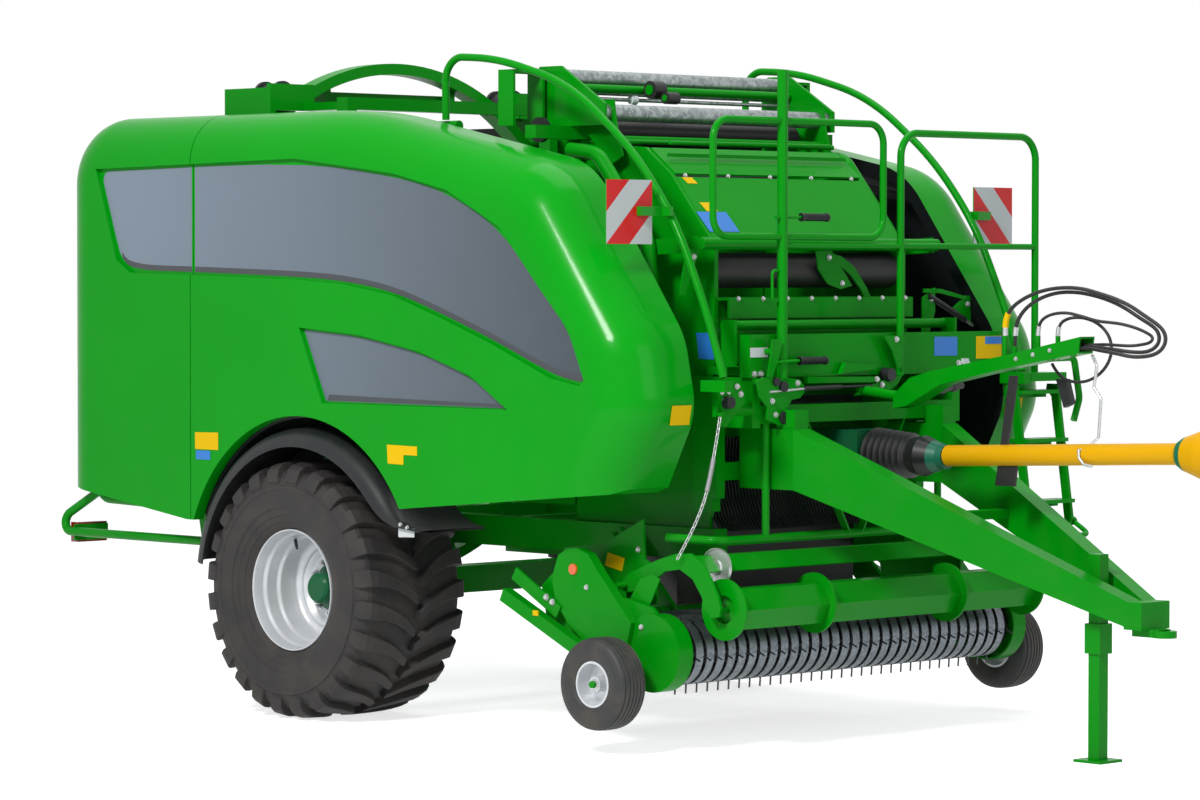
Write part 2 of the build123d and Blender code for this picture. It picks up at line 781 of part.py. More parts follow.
with BuildPart() as drawbar:
    for side in (-1, 1):
        root = Plane(origin=(2440, side * 500, 1280), x_dir=(0, 1, 0), z_dir=(1, 0, 0))
        nose = Plane(origin=(3960, side * 52, 655), x_dir=(0, 1, 0), z_dir=(1, 0, 0))
        with BuildSketch(root) as thick:
            Rectangle(110, 270)
        with BuildSketch(nose) as thin:
            Rectangle(90, 112)
        loft([thick.sketch.face(), thin.sketch.face()])
        slab((2112, 2440), place(side, 445, 555), (1145, 1415))
        slab((2332, 2440), place(side, 455, 545), (1415, 1500))
    slab((3940, 4035), (-97, 97), (592, 711))
    slab((2900, 2980), (-335, 335), (1010, 1050))
    slab((3940, HITCH_X), (-40, 40), (HITCH_Z - 15, HITCH_Z + 20))
    with Locations((HITCH_X, 0, HITCH_Z)):
        Cylinder(52, 30)
    with Locations((HITCH_X, 0, HITCH_Z)):
        Cylinder(25, 32, mode=Mode.SUBTRACT)
write("drawbar", drawbar)

with BuildPart() as parking_jack:
    slab((JACK_X - 75, JACK_X + 75), (-75, 75), (0, 12))
    slab((JACK_X - 30, JACK_X + 30), (-30, 30), (12, 900))
    slab((JACK_X - 42, JACK_X + 42), (-42, 42), (470, 600))
write("parking_jack", parking_jack)

with BuildPart() as gearbox:
    slab((2160, 2430), (-120, 120), (1190, 1400))
write("gearbox", gearbox)

# A ribbed rubber boot that narrows into a plastic cone.
RIB_COUNT, RIB_PITCH = 7, 34
with BuildPart() as shaft_bellows:
    boot = [(0, 0), (0, 92)]
    for n in range(RIB_COUNT):
        boot += [(RIB_PITCH * (n + 0.5), 120 - 3 * n), (RIB_PITCH * (n + 1), 92 - 2 * n)]
    boot += [(250, 84), (300, 92), (400, 58), (433, 54), (433, 0)]
    turned_about_x(boot, 2432, 1290)
write("shaft_bellows", shaft_bellows)

with BuildPart() as shaft_guard:
    rod((2868, 0, 1296), SHAFT_END, 47)
    cone = [(-4, 0), (-4, 52), (36, 74), (140, 108), (262, 132)]
    cone += [(262, 126), (140, 101), (36, 67), (12, 58), (12, 0)]
    turned_about_x(cone, SHAFT_END[0], SHAFT_END[2])
write("shaft_guard", shaft_guard)

with BuildPart() as shaft_yoke:
    rod((SHAFT_END[0] + 16, 0, SHAFT_END[2]), (FRONT_END, 0, SHAFT_END[2]), 50)
    rod((FRONT_END - 90, 0, SHAFT_END[2]), (FRONT_END, 0, SHAFT_END[2]), SPLINE_R, Mode.SUBTRACT)
write("shaft_yoke", shaft_yoke)

# The arm that carries the hoses forward, on a tube from the platform's beam. Its front end is
# open, and each hose leaves a fitting on its back and comes home into that end.
HOSE_ARM = [
    (2580, 1500),
    (2585, 1565),
    (2680, 1640),
    (2800, 1672),
    (3210, 1745),
    (3657, 1836),
    (3646, 1763),
    (3210, 1686),
    (2860, 1614),
    (2660, 1515),
]
ARM_MOUTH = [(3580, 1759), (3580, 1812), (3700, 1837), (3700, 1781)]
# The fittings as (X, Y, height of the top, radius).
FITTINGS = [(3207, -15, 1835, 13), (3243, 10, 1788, 13), (3390, -10, 1837, 11), (3464, 36, 1836, 11)]
with BuildPart() as hose_arm:
    rod((2332, 0, 1580), (2600, 0, 1552), 22)
    side_plate(HOSE_ARM, (-50, 50))
    side_plate(ARM_MOUTH, (-42, 42), Mode.SUBTRACT)
    for x, y, top, radius in FITTINGS:
        rod((x, y, 1730), (x, y, top), radius)
    bent_tube([(3375, 20, 1735), (3420, 200, 1740), (3420, 240, 1560), (3420, 200, 1463)], [30, 60], 15)
write("hose_arm", hose_arm)

# Each hose and the lift chain as its diameter and its route.
CORDS = {
    "hose_feed": (
        17,
        [
            (3207, -15, 1835),
            (3207, -15, 1895),
            (3231, -12, 1949),
            (3290, -6, 1993),
            (3382, 6, 2031),
            (3490, 18, 2048),
            (3599, 28, 2045),
            (3682, 42, 2024),
            (3768, 58, 1999),
            (3838, 72, 1968),
            (3902, 84, 1928),
            (3985, 88, 1883),
            (4018, 83, 1845),
            (4034, 57, 1804),
            (4029, 18, 1771),
            (4004, -23, 1756),
            (3950, -62, 1753),
            (3879, -82, 1769),
            (3775, -74, 1781),
            (3690, -32, 1788),
            (3582, -28, 1786),
        ],
    ),
    "hose_return": (
        17,
        [
            (3243, 10, 1788),
            (3243, 10, 1846),
            (3257, 10, 1905),
            (3298, 16, 1957),
            (3369, 26, 2001),
            (3463, 38, 2027),
            (3559, 50, 2028),
            (3649, 62, 2013),
            (3723, 80, 1990),
            (3787, 96, 1960),
            (3862, 106, 1916),
            (3941, 100, 1881),
            (3972, 96, 1850),
            (3989, 74, 1815),
            (3987, 41, 1787),
            (3967, 4, 1772),
            (3917, -34, 1774),
            (3850, -52, 1784),
            (3748, -40, 1791),
            (3680, -10, 1796),
            (3582, -6, 1794),
        ],
    ),
    "hose_inner": (
        14,
        [
            (3390, -10, 1837),
            (3390, -10, 1888),
            (3438, -4, 1928),
            (3526, 8, 1941),
            (3599, 28, 1924),
            (3665, 56, 1902),
            (3719, 84, 1897),
            (3766, 108, 1890),
            (3832, 122, 1873),
            (3892, 123, 1851),
            (3921, 114, 1838),
            (3940, 91, 1823),
            (3944, 61, 1811),
            (3932, 30, 1805),
            (3900, 0, 1799),
            (3837, -12, 1801),
            (3759, -8, 1804),
            (3688, 12, 1801),
            (3582, 14, 1799),
        ],
    ),
    "hose_loop": (
        14,
        [
            (3464, 36, 1836),
            (3464, 36, 1884),
            (3500, 62, 1916),
            (3572, 86, 1918),
            (3660, 90, 1886),
            (3716, 88, 1827),
            (3723, 86, 1754),
            (3678, 85, 1684),
            (3591, 86, 1637),
            (3491, 85, 1635),
            (3422, 84, 1668),
            (3393, 82, 1714),
        ],
    ),
    "lift_chain": (
        18,
        [
            (2351, -929, 1478),
            (2352, -975, 1260),
            (2348, -1048, 1040),
            (2256, -1098, 856),
        ],
    ),
}
# A chain turns at its links, so its bends are small, and eight flats stand for its links.
CHAIN_BEND, CHAIN_FLATS, CHAIN_CORNER_R = 50, 8, 9.4
for name, (thick, route) in CORDS.items():
    bends = easy_bends(route)
    with BuildPart() as cord:
        if name == "lift_chain":
            bends = [CHAIN_BEND] * len(bends)
            bent_tube(route, bends, CHAIN_CORNER_R, CHAIN_FLATS)
        else:
            bent_tube(route, bends, thick / 2)
    run = sum((Vector(*b) - Vector(*a)).length for a, b in zip(route, route[1:]))
    print(name, "thickness", thick, "runs", round(run), "radii", [round(bend) for bend in bends])
    print("   volume over section", round(cord.part.volume / (math.pi * thick**2 / 4)))
    write(name, cord)

# ---------------------------------------------------------------- pickup

PICKUP_SIDE = [
    (1480, 560),
    (1450, 700),
    (1560, 790),
    (1720, 800),
    (1930, 680),
    (2150, 640),
    (2290, 500),
    (2290, 380),
    (2180, 270),
    (2020, 265),
    (1820, 330),
]
CHAIN_CASE = [
    (1590, 640),
    (1572, 720),
    (1581, 780),
    (1610, 848),
    (1664, 878),
    (1730, 884),
    (1800, 860),
    (1850, 800),
    (2070, 570),
    (2010, 330),
    (1950, 305),
    (1824, 436),
    (1677, 538),
]
INNER_WING = [(1464, 867), (1722, 893), (1975, 1016), (1988, 839), (2069, 800), (2060, 640), (1700, 620)]
with BuildPart() as pickup_frame:
    for side in (-1, 1):
        side_plate(PICKUP_SIDE, place(side, PICKUP_HALF - 20, PICKUP_HALF))
        side_plate(CHAIN_CASE, place(side, PICKUP_HALF, 1200))
        disc_y(REEL_X, REEL_Z, 172, place(side, 1085, 1172))
        disc_y(REEL_X, REEL_Z, 162, place(side, 1084, PICKUP_HALF - 20), Mode.SUBTRACT)
        side_plate(INNER_WING, place(side, 1020, 1032))
        slab((1720, 1780), place(side, 1030, PICKUP_HALF - 18), (700, 740))
        disc_y(GAUGE_X, GAUGE_Z, 16, place(side, 1200, GAUGE_Y + 70))
        beam((1290, side * 1225, 655), (1860, side * 1225, 400), 50, 60)
        beam((1850, side * 1225, 405), (2070, side * 1225, 305), 50, 60)
        beam((1330, side * 1205, 752), (1620, side * 1205, 590), 12, 60)
        side_plate([(1440, 870), (1540, 950), (1890, 600), (1790, 520)], place(side, 720, 745))
        disc_y(PICKUP_PIVOT_X, PICKUP_PIVOT_Z, 25 + RUNNING, place(side, 719, 746), Mode.SUBTRACT)
        disc_y(REEL_X, REEL_Z, 20 + RUNNING, place(side, 1084, 1160), Mode.SUBTRACT)
    disc_y(1830, 560, 45, (-PICKUP_HALF + 20, PICKUP_HALF - 20))
write("pickup_frame", pickup_frame)

BAND_COUNT, BAND_PITCH, BAND_WIDE = 31, 68, 46
BAND_R = 150


def band_outline(inset):
    """The U of one stripper band, open to the rear."""
    radius = BAND_R - inset
    with BuildLine() as outline:
        Line((REEL_X - 250, REEL_Z + radius), (REEL_X, REEL_Z + radius))
        RadiusArc((REEL_X, REEL_Z + radius), (REEL_X, REEL_Z - radius), radius)
        Line((REEL_X, REEL_Z - radius), (REEL_X - 190, REEL_Z - radius))
        Line((REEL_X - 190, REEL_Z - radius), (REEL_X - 250, REEL_Z + radius))
    return outline.line


with BuildPart() as stripper_bands:
    for n in range(BAND_COUNT):
        y = (n - (BAND_COUNT - 1) / 2) * BAND_PITCH
        with BuildSketch(Plane.XZ.offset(-y + BAND_WIDE / 2)) as band_face:
            add(band_outline(0))
            make_face()
            with BuildSketch(mode=Mode.SUBTRACT):
                add(band_outline(7))
                make_face()
            with Locations((REEL_X - 225, REEL_Z)):
                Rectangle(60, 2 * BAND_R - 14, mode=Mode.SUBTRACT)
        extrude(band_face.sketch, amount=-BAND_WIDE)
    slab((REEL_X - 262, REEL_X - 228), (-1110, 1110), (REEL_Z + 138, REEL_Z + 152))
    slab((REEL_X - 185, REEL_X - 155), (-1110, 1110), (REEL_Z - 162, REEL_Z - 148))
write("stripper_bands", stripper_bands)

# Five bars carry the tines, which reach out between the bands and lean back from the turn.
BAR_COUNT, TINES = 5, 32
with BuildPart() as tine_reel:
    disc_y(REEL_X, REEL_Z, 40, (-1110, 1110))
    disc_y(REEL_X, REEL_Z, 20, (-PICKUP_HALF - 5, PICKUP_HALF + 5))
    for n in range(BAR_COUNT):
        turn = 360 / BAR_COUNT * n
        spot = Vector(REEL_R, 0, 0).rotate(Axis.Y, turn)
        disc_y(REEL_X + spot.X, REEL_Z + spot.Z, 14, (-1105, 1105))
        places = [
            Location((REEL_X, (k - (TINES - 1) / 2) * BAND_PITCH, REEL_Z), (0, turn, 0))
            * Location((REEL_R + 40, 0, -14), (0, 22, 0))
            for k in range(TINES)
        ]
        with Locations(*places):
            Box(88, 6, 6)
    for y in (-1105, 0, 1097):
        disc_y(REEL_X, REEL_Z, 118, (y, y + 8))
write("tine_reel", tine_reel)

GAUGE_OUTSIDE = [(66, 104), (81, 150), (74, 190), (54, GAUGE_R)]
GAUGE_INSIDE = [(54, 104), (66, 150), (54, GAUGE_R - 20)]

for name, side in SIDES.items():
    with BuildPart() as gauge_tyre:
        tyre(GAUGE_X, GAUGE_Z, side * GAUGE_Y, GAUGE_OUTSIDE, GAUGE_INSIDE, 20)
    write(f"gauge_tyre_{name}", gauge_tyre)
    with BuildPart() as gauge_rim:
        turned_about_y(
            [
                (-66, 102),
                (-66, 92),
                (-6, 80),
                (-6, 34),
                (-50, 34),
                (-50, 16 + RUNNING),
                (50, 16 + RUNNING),
                (50, 34),
                (6, 34),
                (6, 80),
                (66, 92),
                (66, 102),
            ],
            GAUGE_X,
            GAUGE_Z,
            side * GAUGE_Y,
        )
    write(f"gauge_rim_{name}", gauge_rim)

# Hooked arms that hold the crop roller and the plate behind it.
HOOK_ARM = [
    (1880, 735),
    (1930, 778),
    (2025, 815),
    (2118, 848),
    (2211, 874),
    (2303, 882),
    (2376, 845),
    (2425, 782),
    (2472, 705),
    (2490, 650),
    (2482, 612),
    (2430, 606),
    (2404, 640),
    (2372, 700),
    (2321, 768),
    (2242, 808),
    (2149, 795),
    (2056, 735),
    (1935, 692),
    (1885, 695),
]
with BuildPart() as crop_guide:
    for side in (-1, 1):
        side_plate(HOOK_ARM, place(side, 1054, 1068))
        disc_y(GUIDE_PIVOT_X, GUIDE_PIVOT_Z, 15, place(side, 1068, PICKUP_HALF - 21))
        disc_y(CROP_ROLLER_X, CROP_ROLLER_Z, 14, place(side, 965, 1056))
    beam((2330, 0, 868), (2400, 0, 802), 2 * 1056, 6)
    slab((2318, 2334), (-1056, 1056), (858, 872))
write("crop_guide", crop_guide)

with BuildPart() as crop_roller:
    with BuildSketch(Plane.XZ.offset(-1000)) as drum:
        with Locations((CROP_ROLLER_X, CROP_ROLLER_Z)):
            RegularPolygon(102, 6)
    extrude(drum.sketch, amount=2000)
    for y in (-1010, -436, 454, 1000):
        disc_y(CROP_ROLLER_X, CROP_ROLLER_Z, 135, (y, y + 10))
    for side in (-1, 1):
        disc_y(CROP_ROLLER_X, CROP_ROLLER_Z, 62, place(side, 985, 1011), Mode.SUBTRACT)
        disc_y(CROP_ROLLER_X, CROP_ROLLER_Z, 14 + RUNNING, place(side, 960, 1011), Mode.SUBTRACT)
write("crop_roller", crop_roller)

# ---------------------------------------------------------------- ladder

LADDER_Y = (990, 1290)
with BuildPart() as ladder:
    for y in LADDER_Y:
        beam((2416, y, 1581), (2508, y, 940), 18, 44)
        side_plate([(2370, 1560), (2375, 1584), (2420, 1584), (2440, 1480)], (y - 9, y + 9))
    for z in (1545, 1318, 1030):
        x = 2414 + 94 * (1592 - z) / 652
        slab((x - 62, x + 48), LADDER_Y, (z - 5, z + 13))
        slab((x - 62, x - 56), LADDER_Y, (z - 25, z + 13))
    for side, y in zip((-1, 1), LADDER_Y):
        disc_y(2508, 935, 14, (y - 9, y + 9))
        disc_y(2508, 935, 8, sorted((y, y + side * 38)))
write("ladder", ladder)

# The bottom step is a loop that folds up in front of the ladder.
with BuildPart() as ladder_step:
    low, high = LADDER_Y[0] - 26, LADDER_Y[1] + 26
    bent_tube([(2521, low, 929), (2610, low, 876), (2610, high, 876), (2521, high, 929)], [40, 40], 12)
    for y in (low, high):
        disc_y(2508, 935, 20, (y - 10, y + 10))
        disc_y(2508, 935, 8 + RUNNING, (y - 13, y + 13), Mode.SUBTRACT)
write("ladder_step", ladder_step)

with BuildPart() as rear_lamps:
    for side in (-1, 1):
        slab((-1880, -1825), place(side, 1080, 1265), (745, 845))
write("rear_lamps", rear_lamps)
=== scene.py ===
# %% [markdown]
# A towed round baler and bale wrapper in one machine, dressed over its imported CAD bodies.
# The CAD carries the frame, panels, wheels, rollers and tubes; this lesson adds paint, rubber,
# zinc, tyres with real tread, plates, bolts, hoses and the small fittings a visitor would see.

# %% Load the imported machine
import json
import math

import bmesh
import bpy
from mathutils import Matrix, Vector


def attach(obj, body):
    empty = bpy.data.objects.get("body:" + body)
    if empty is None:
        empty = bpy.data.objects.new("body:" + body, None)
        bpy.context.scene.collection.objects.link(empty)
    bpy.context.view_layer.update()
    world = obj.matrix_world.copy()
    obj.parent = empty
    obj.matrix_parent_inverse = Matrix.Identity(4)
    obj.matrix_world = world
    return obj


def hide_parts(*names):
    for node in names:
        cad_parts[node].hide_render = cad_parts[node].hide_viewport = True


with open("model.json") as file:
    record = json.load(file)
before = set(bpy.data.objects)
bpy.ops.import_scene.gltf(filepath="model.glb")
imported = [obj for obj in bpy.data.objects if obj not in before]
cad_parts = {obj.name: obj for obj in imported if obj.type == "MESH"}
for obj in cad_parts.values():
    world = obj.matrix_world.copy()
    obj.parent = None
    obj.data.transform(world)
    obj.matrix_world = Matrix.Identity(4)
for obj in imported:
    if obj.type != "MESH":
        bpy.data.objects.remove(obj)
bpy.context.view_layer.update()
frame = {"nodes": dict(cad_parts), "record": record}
JOINTS = {joint["name"]: joint for joint in frame["record"]["behaviour"]["joints"]}
AXLE_X = JOINTS["wheel_right_spin"]["pos_m"][0]

# %% [markdown]
# The CAD counts its stations in millimetres from the axle, so a small helper turns those into
# metres in the shared frame. Most small parts come in pairs, and each side has its sign across.

# %% Stations
SIDES = {"right": -1, "left": 1}
WHEEL_Y, WHEEL_Z = 1130, 611
GAUGE_X, GAUGE_Y, GAUGE_Z = 2050, 1352, 312


def at(x, y, z):
    """A point given in millimetres from the axle, in metres in the shared frame."""
    return Vector((AXLE_X + x / 1000, y / 1000, z / 1000))


def on_circle(x, z, radius, degrees):
    """The X and Z of a point on a circle, at an angle from straight up."""
    turn = math.radians(degrees)
    return x + radius * math.sin(turn), z + radius * math.cos(turn)


print("axle centre", at(0, 0, WHEEL_Z))

# %% [markdown]
# The camera stands at eye height ahead of the machine's right front corner, eighteen metres off
# with a long lens, so that the near side and the front are seen about equally and lines hardly
# converge. It is aimed by a matrix: forward, right and up, with a trace of roll.

# %% Camera
LENS, SENSOR = 126, 36
TURN, DIP, ROLL = math.radians(45.6), math.radians(1.80), 0.0011
forward = Vector((-math.sin(TURN) * math.cos(DIP), math.cos(TURN) * math.cos(DIP), -math.sin(DIP)))
level = Vector((math.cos(TURN), math.sin(TURN), 0))
across = level * math.cos(ROLL) + level.cross(forward) * math.sin(ROLL)
above = across.cross(forward)
camera_data = bpy.data.cameras.new("camera")
camera_data.lens, camera_data.sensor_width, camera_data.clip_end = LENS, SENSOR, 200
camera = bpy.data.objects.new("camera", camera_data)
turned = Matrix((across, above, -forward)).transposed().to_4x4()
camera.matrix_world = Matrix.Translation(at(15140, -14190, 2130)) @ turned
bpy.context.scene.collection.objects.link(camera)
bpy.context.scene.camera = camera
print("camera at", camera.location)

# %% [markdown]
# Every tree of nodes below is put together by the same few helpers. An input is fed either by
# another node's socket or by a plain value, so one call makes a node and wires it.

# %% Node helpers
def add_node(tree, kind, feeds=None, **settings):
    """Adds a node with its settings; feeds drive its inputs by a socket or a plain value."""
    node = tree.nodes.new(kind)
    for key, value in settings.items():
        setattr(node, key, value)
    for key, feed in (feeds or {}).items():
        if isinstance(feed, bpy.types.NodeSocket):
            tree.links.new(feed, node.inputs[key])
        else:
            node.inputs[key].default_value = feed
    return node


def maths(tree, operation, *terms):
    """The result of a Math node over its terms."""
    return add_node(tree, "ShaderNodeMath", dict(enumerate(terms)), operation=operation).outputs[0]


def mix(tree, share, one, other):
    """One colour that goes over to another by a share."""
    return add_node(tree, "ShaderNodeMix", {0: share, 6: one, 7: other}, data_type="RGBA").outputs[2]


def remap(tree, value, *limits):
    """A value mapped between limits: from low, from high, to low, to high."""
    names = ("From Min", "From Max", "To Min", "To Max")
    return add_node(tree, "ShaderNodeMapRange", {"Value": value, **dict(zip(names, limits))}).outputs[0]


def xyz(tree, vector):
    """A vector's three parts."""
    return add_node(tree, "ShaderNodeSeparateXYZ", {0: vector}).outputs


def new_group(name, kind, inputs, outputs):
    """A node group with rows of (label, type, default) as sockets: the group, what it gets, what it gives."""
    group = bpy.data.node_groups.new(name, kind)
    for in_out, rows in (("INPUT", inputs), ("OUTPUT", outputs)):
        for label, sort, *default in rows:
            made = group.interface.new_socket(label, in_out=in_out, socket_type="NodeSocket" + sort)
            if default:
                made.default_value = default[0]
    return group, add_node(group, "NodeGroupInput").outputs, add_node(group, "NodeGroupOutput").inputs


print("node helpers ready")

# %% [markdown]
# What changes over a surface comes from two shared groups. The first is for weathered finishes:
# tone drifts slowly, a fine grain breaks up the shine, and dust gathers in patches low down.

# %% Group: weathered finish
weathered, gets, gives = new_group("Weathered Finish", "ShaderNodeTree", [
    ("Vector", "Vector"), ("Colour", "Color", (0.5, 0.5, 0.5, 1)),
    ("Dust Colour", "Color", (0.3, 0.25, 0.18, 1)), ("Dust", "Float", 0.1), ("Drift", "Float", 0.1),
    ("Roughness", "Float", 0.4), ("Grain Scale", "Float", 60.0), ("Grain", "Float", 0.1),
], [("Colour", "Color"), ("Roughness", "Float"), ("Height", "Float")])
slow, patch, fine = [
    add_node(weathered, "ShaderNodeTexNoise", {
        "Vector": gets["Vector"], "Scale": scale, "Detail": detail,
    }).outputs[0]
    for scale, detail in ((1.3, 3.0), (7.0, 5.0), (gets["Grain Scale"], 4.0))
]
tone = maths(weathered, "MULTIPLY_ADD", maths(weathered, "SUBTRACT", slow, 0.5), gets["Drift"], 1.0)
feeds = {0: gets["Colour"], "Scale": tone}
toned = add_node(weathered, "ShaderNodeVectorMath", feeds, operation="SCALE").outputs[0]
low_down = remap(weathered, xyz(weathered, gets["Vector"])["Z"], 2.4, 0.1, 0.35, 1.0)
spots = remap(weathered, patch, 0.42, 0.72)
dust = maths(weathered, "MULTIPLY", maths(weathered, "MULTIPLY", low_down, spots), gets["Dust"])
grain = maths(weathered, "MULTIPLY_ADD", fine, gets["Grain"], gets["Roughness"])
for label, result in {
    "Colour": mix(weathered, dust, toned, gets["Dust Colour"]),
    "Roughness": maths(weathered, "ADD", grain, dust), "Height": fine,
}.items():
    weathered.links.new(result, gives[label])
print("weathered finish has", len(weathered.nodes), "nodes")

# %% [markdown]
# Hot-dip zinc shows a spangle of flat crystals, each a little lighter or duller than the next.
# Voronoi cells give each crystal its own value, and that drives tone and roughness together.

# %% Group: zinc spangle
spangle, gets, gives = new_group("Zinc Spangle", "ShaderNodeTree", [
    ("Vector", "Vector"), ("Bright", "Color", (0.62, 0.64, 0.66, 1)),
    ("Dull", "Color", (0.34, 0.36, 0.38, 1)), ("Scale", "Float", 60.0),
], [("Colour", "Color"), ("Roughness", "Float")])
crystals = add_node(spangle, "ShaderNodeTexVoronoi", {label: gets[label] for label in ("Vector", "Scale")})
crystal = crystals.outputs["Color"]
spangle.links.new(mix(spangle, crystal, gets["Bright"], gets["Dull"]), gives["Colour"])
spangle.links.new(remap(spangle, crystal, 0.0, 1.0, 0.28, 0.5), gives["Roughness"])
print("zinc spangle has", len(spangle.nodes), "nodes")

# %% [markdown]
# One maker gives each finish its own values: paint has a clear coat, plastic and rubber are
# duller with a coarser grain, and dust lies thicker on what runs near the ground.

# %% Finish makers
FINISHES = {}


def start_finish(name, coat=0.0, metal=0.0, specular=0.5):
    """A material: its tree, its shader's inputs and its Object coordinate."""
    FINISHES[name] = bpy.data.materials.new(name)
    FINISHES[name].use_nodes = True
    tree = FINISHES[name].node_tree
    shader = tree.nodes["Principled BSDF"].inputs
    looks = {"Coat Weight": coat, "Coat Roughness": 0.12, "Metallic": metal, "Specular IOR Level": specular}
    for label, value in looks.items():
        shader[label].default_value = value
    return tree, shader, add_node(tree, "ShaderNodeTexCoord").outputs["Object"]


def weather(name, colour, rough, grain=0.08, scale=60.0, dust=0.1, drift=0.12, bump=0.05, **looks):
    """A weathered finish of one colour, or of a colour that a rule finds from the place."""
    tree, shader, place = start_finish(name, **looks)
    group = add_node(tree, "ShaderNodeGroup", node_tree=weathered, feeds={
        "Vector": place, "Colour": colour(tree, place) if callable(colour) else (*colour, 1), "Dust": dust,
        "Drift": drift, "Roughness": rough, "Grain": grain, "Grain Scale": scale,
    }).outputs
    feeds = {"Height": group["Height"], "Strength": bump, "Distance": 0.002}
    raised = add_node(tree, "ShaderNodeBump", feeds)
    tree.links.new(group["Colour"], shader["Base Color"])
    tree.links.new(group["Roughness"], shader["Roughness"])
    tree.links.new(raised.outputs["Normal"], shader["Normal"])


def galvanise(name, bright, dull, scale):
    """A zinc finish."""
    tree, shader, place = start_finish(name, metal=0.85)
    feeds = {"Vector": place, "Bright": (*bright, 1), "Dull": (*dull, 1), "Scale": scale}
    group = add_node(tree, "ShaderNodeGroup", feeds, node_tree=spangle).outputs
    tree.links.new(group["Colour"], shader["Base Color"])
    tree.links.new(group["Roughness"], shader["Roughness"])


def recolour(name, colour, rule):
    """Gives a finish another colour where a rule on place and facing says so."""
    tree = FINISHES[name].node_tree
    base = tree.nodes["Principled BSDF"].inputs["Base Color"]
    place = xyz(tree, add_node(tree, "ShaderNodeTexCoord").outputs["Object"])
    facing = xyz(tree, add_node(tree, "ShaderNodeNewGeometry").outputs["True Normal"])
    tree.links.new(mix(tree, rule(tree, place, facing), base.links[0].from_socket, (*colour, 1)), base)


print("finish makers ready")

# %% The machine's finishes
GREEN, YELLOW = (0.0, 0.260, 0.004), (0.72, 0.37, 0.0)
weather("green_paint", GREEN, 0.32, grain=0.06, dust=0.03, drift=0.22, bump=0.03, coat=0.10, specular=0.06)
weather(
    "green_body", (0.0, 0.31, 0.006), 0.26, grain=0.05, dust=0.01, drift=0.16, bump=0.015, coat=0.16,
    specular=0.05,
)
weather("dark_green_paint", (0.002, 0.10, 0.035), 0.34, dust=0.06, coat=0.1, specular=0.1)
weather("tyre_rubber", (0.021, 0.019, 0.020), 0.56, 0.2, 140, 0.10, 0.3, 0.35, specular=0.4)
weather("gauge_rubber", (0.016, 0.017, 0.019), 0.5, 0.15, 200, 0.18, 0.25, 0.2)
weather("silver_paint", (0.60, 0.62, 0.65), 0.28, dust=0.04, coat=0.3, metal=0.35)
weather("black_plastic", (0.014, 0.016, 0.018), 0.34, 0.15, 420, dust=0.04, bump=0.12, specular=0.3)
weather("black_rubber", (0.014, 0.014, 0.015), 0.42, 0.15, 200, dust=0.05, bump=0.1, specular=0.35)
# On the intake housing this black is painted shade for the deep shade inside the front.
weather("black_steel_and_painted_shade", (0.010, 0.012, 0.012), 0.4, dust=0.12)
weather("dark_steel", (0.055, 0.060, 0.065), 0.38, dust=0.12, metal=0.7, drift=0.3)
weather("film_wrap", (0.55, 0.60, 0.62), 0.24, dust=0.0, coat=0.3)
weather("warning_yellow", (0.80, 0.50, 0.0), 0.4, dust=0.01, bump=0.0, specular=0.15)
weather("plate_blue", (0.02, 0.19, 0.62), 0.35, dust=0.03, bump=0.0)
weather("plate_white", (0.62, 0.66, 0.68), 0.35, dust=0.03, bump=0.0)
weather("reflector_orange", (0.76, 0.11, 0.003), 0.18, dust=0.0, coat=0.8)
weather("lamp_plastic", (0.30, 0.008, 0.006), 0.15, dust=0.04, coat=0.8)
weather("spring_wire", (0.28, 0.29, 0.30), 0.4, 0.3, 260, metal=0.7, bump=0.8, drift=0.3)
weather("bellows_rubber", (0.012, 0.013, 0.014), 0.32, dust=0.03, specular=0.35)
weather("shaft_plastic", YELLOW, 0.36, grain=0.12, dust=0.03, drift=0.2, specular=0.15)
galvanise("zinc_steel", (0.42, 0.46, 0.46), (0.17, 0.20, 0.20), 55)
galvanise("band_steel", (0.20, 0.225, 0.25), (0.12, 0.135, 0.15), 90)
galvanise("bright_zinc", (0.66, 0.67, 0.68), (0.38, 0.40, 0.40), 300)
print("plain finishes", sorted(FINISHES))

# %% [markdown]
# Some bodies carry two finishes. The side panels are painted black on the faces that look towards
# the middle, as painted shade for the shaded inside of the machine, so theirs asks which way a face
# looks, and on the drive shaft a collar changes colour between two stations. The grey foil
# darkens towards the front. The boards are striped on their front face only, and as the stripes
# run down and outwards on both sides, height plus distance from the middle serves the pair.

# %% Finishes that change over one body
def between(rear, front):
    """A rule for a band between two stations along the machine."""
    middle, half = at((rear + front) / 2, 0, 0).x, (front - rear) / 2000
    return lambda tree, place, facing: maths(tree, "COMPARE", place["X"], middle, half)


def inside(tree, place, facing):
    """A rule for faces that look towards the middle of the machine."""
    return maths(tree, "LESS_THAN", maths(tree, "MULTIPLY", place["Y"], facing["Y"]), -0.15)


def foil_tone(tree, place):
    """Grey that darkens from the rear to the front."""
    share = remap(tree, xyz(tree, place)["X"], -2.7, 0.8)
    return mix(tree, share, (0.22, 0.275, 0.345, 1), (0.055, 0.072, 0.085, 1))


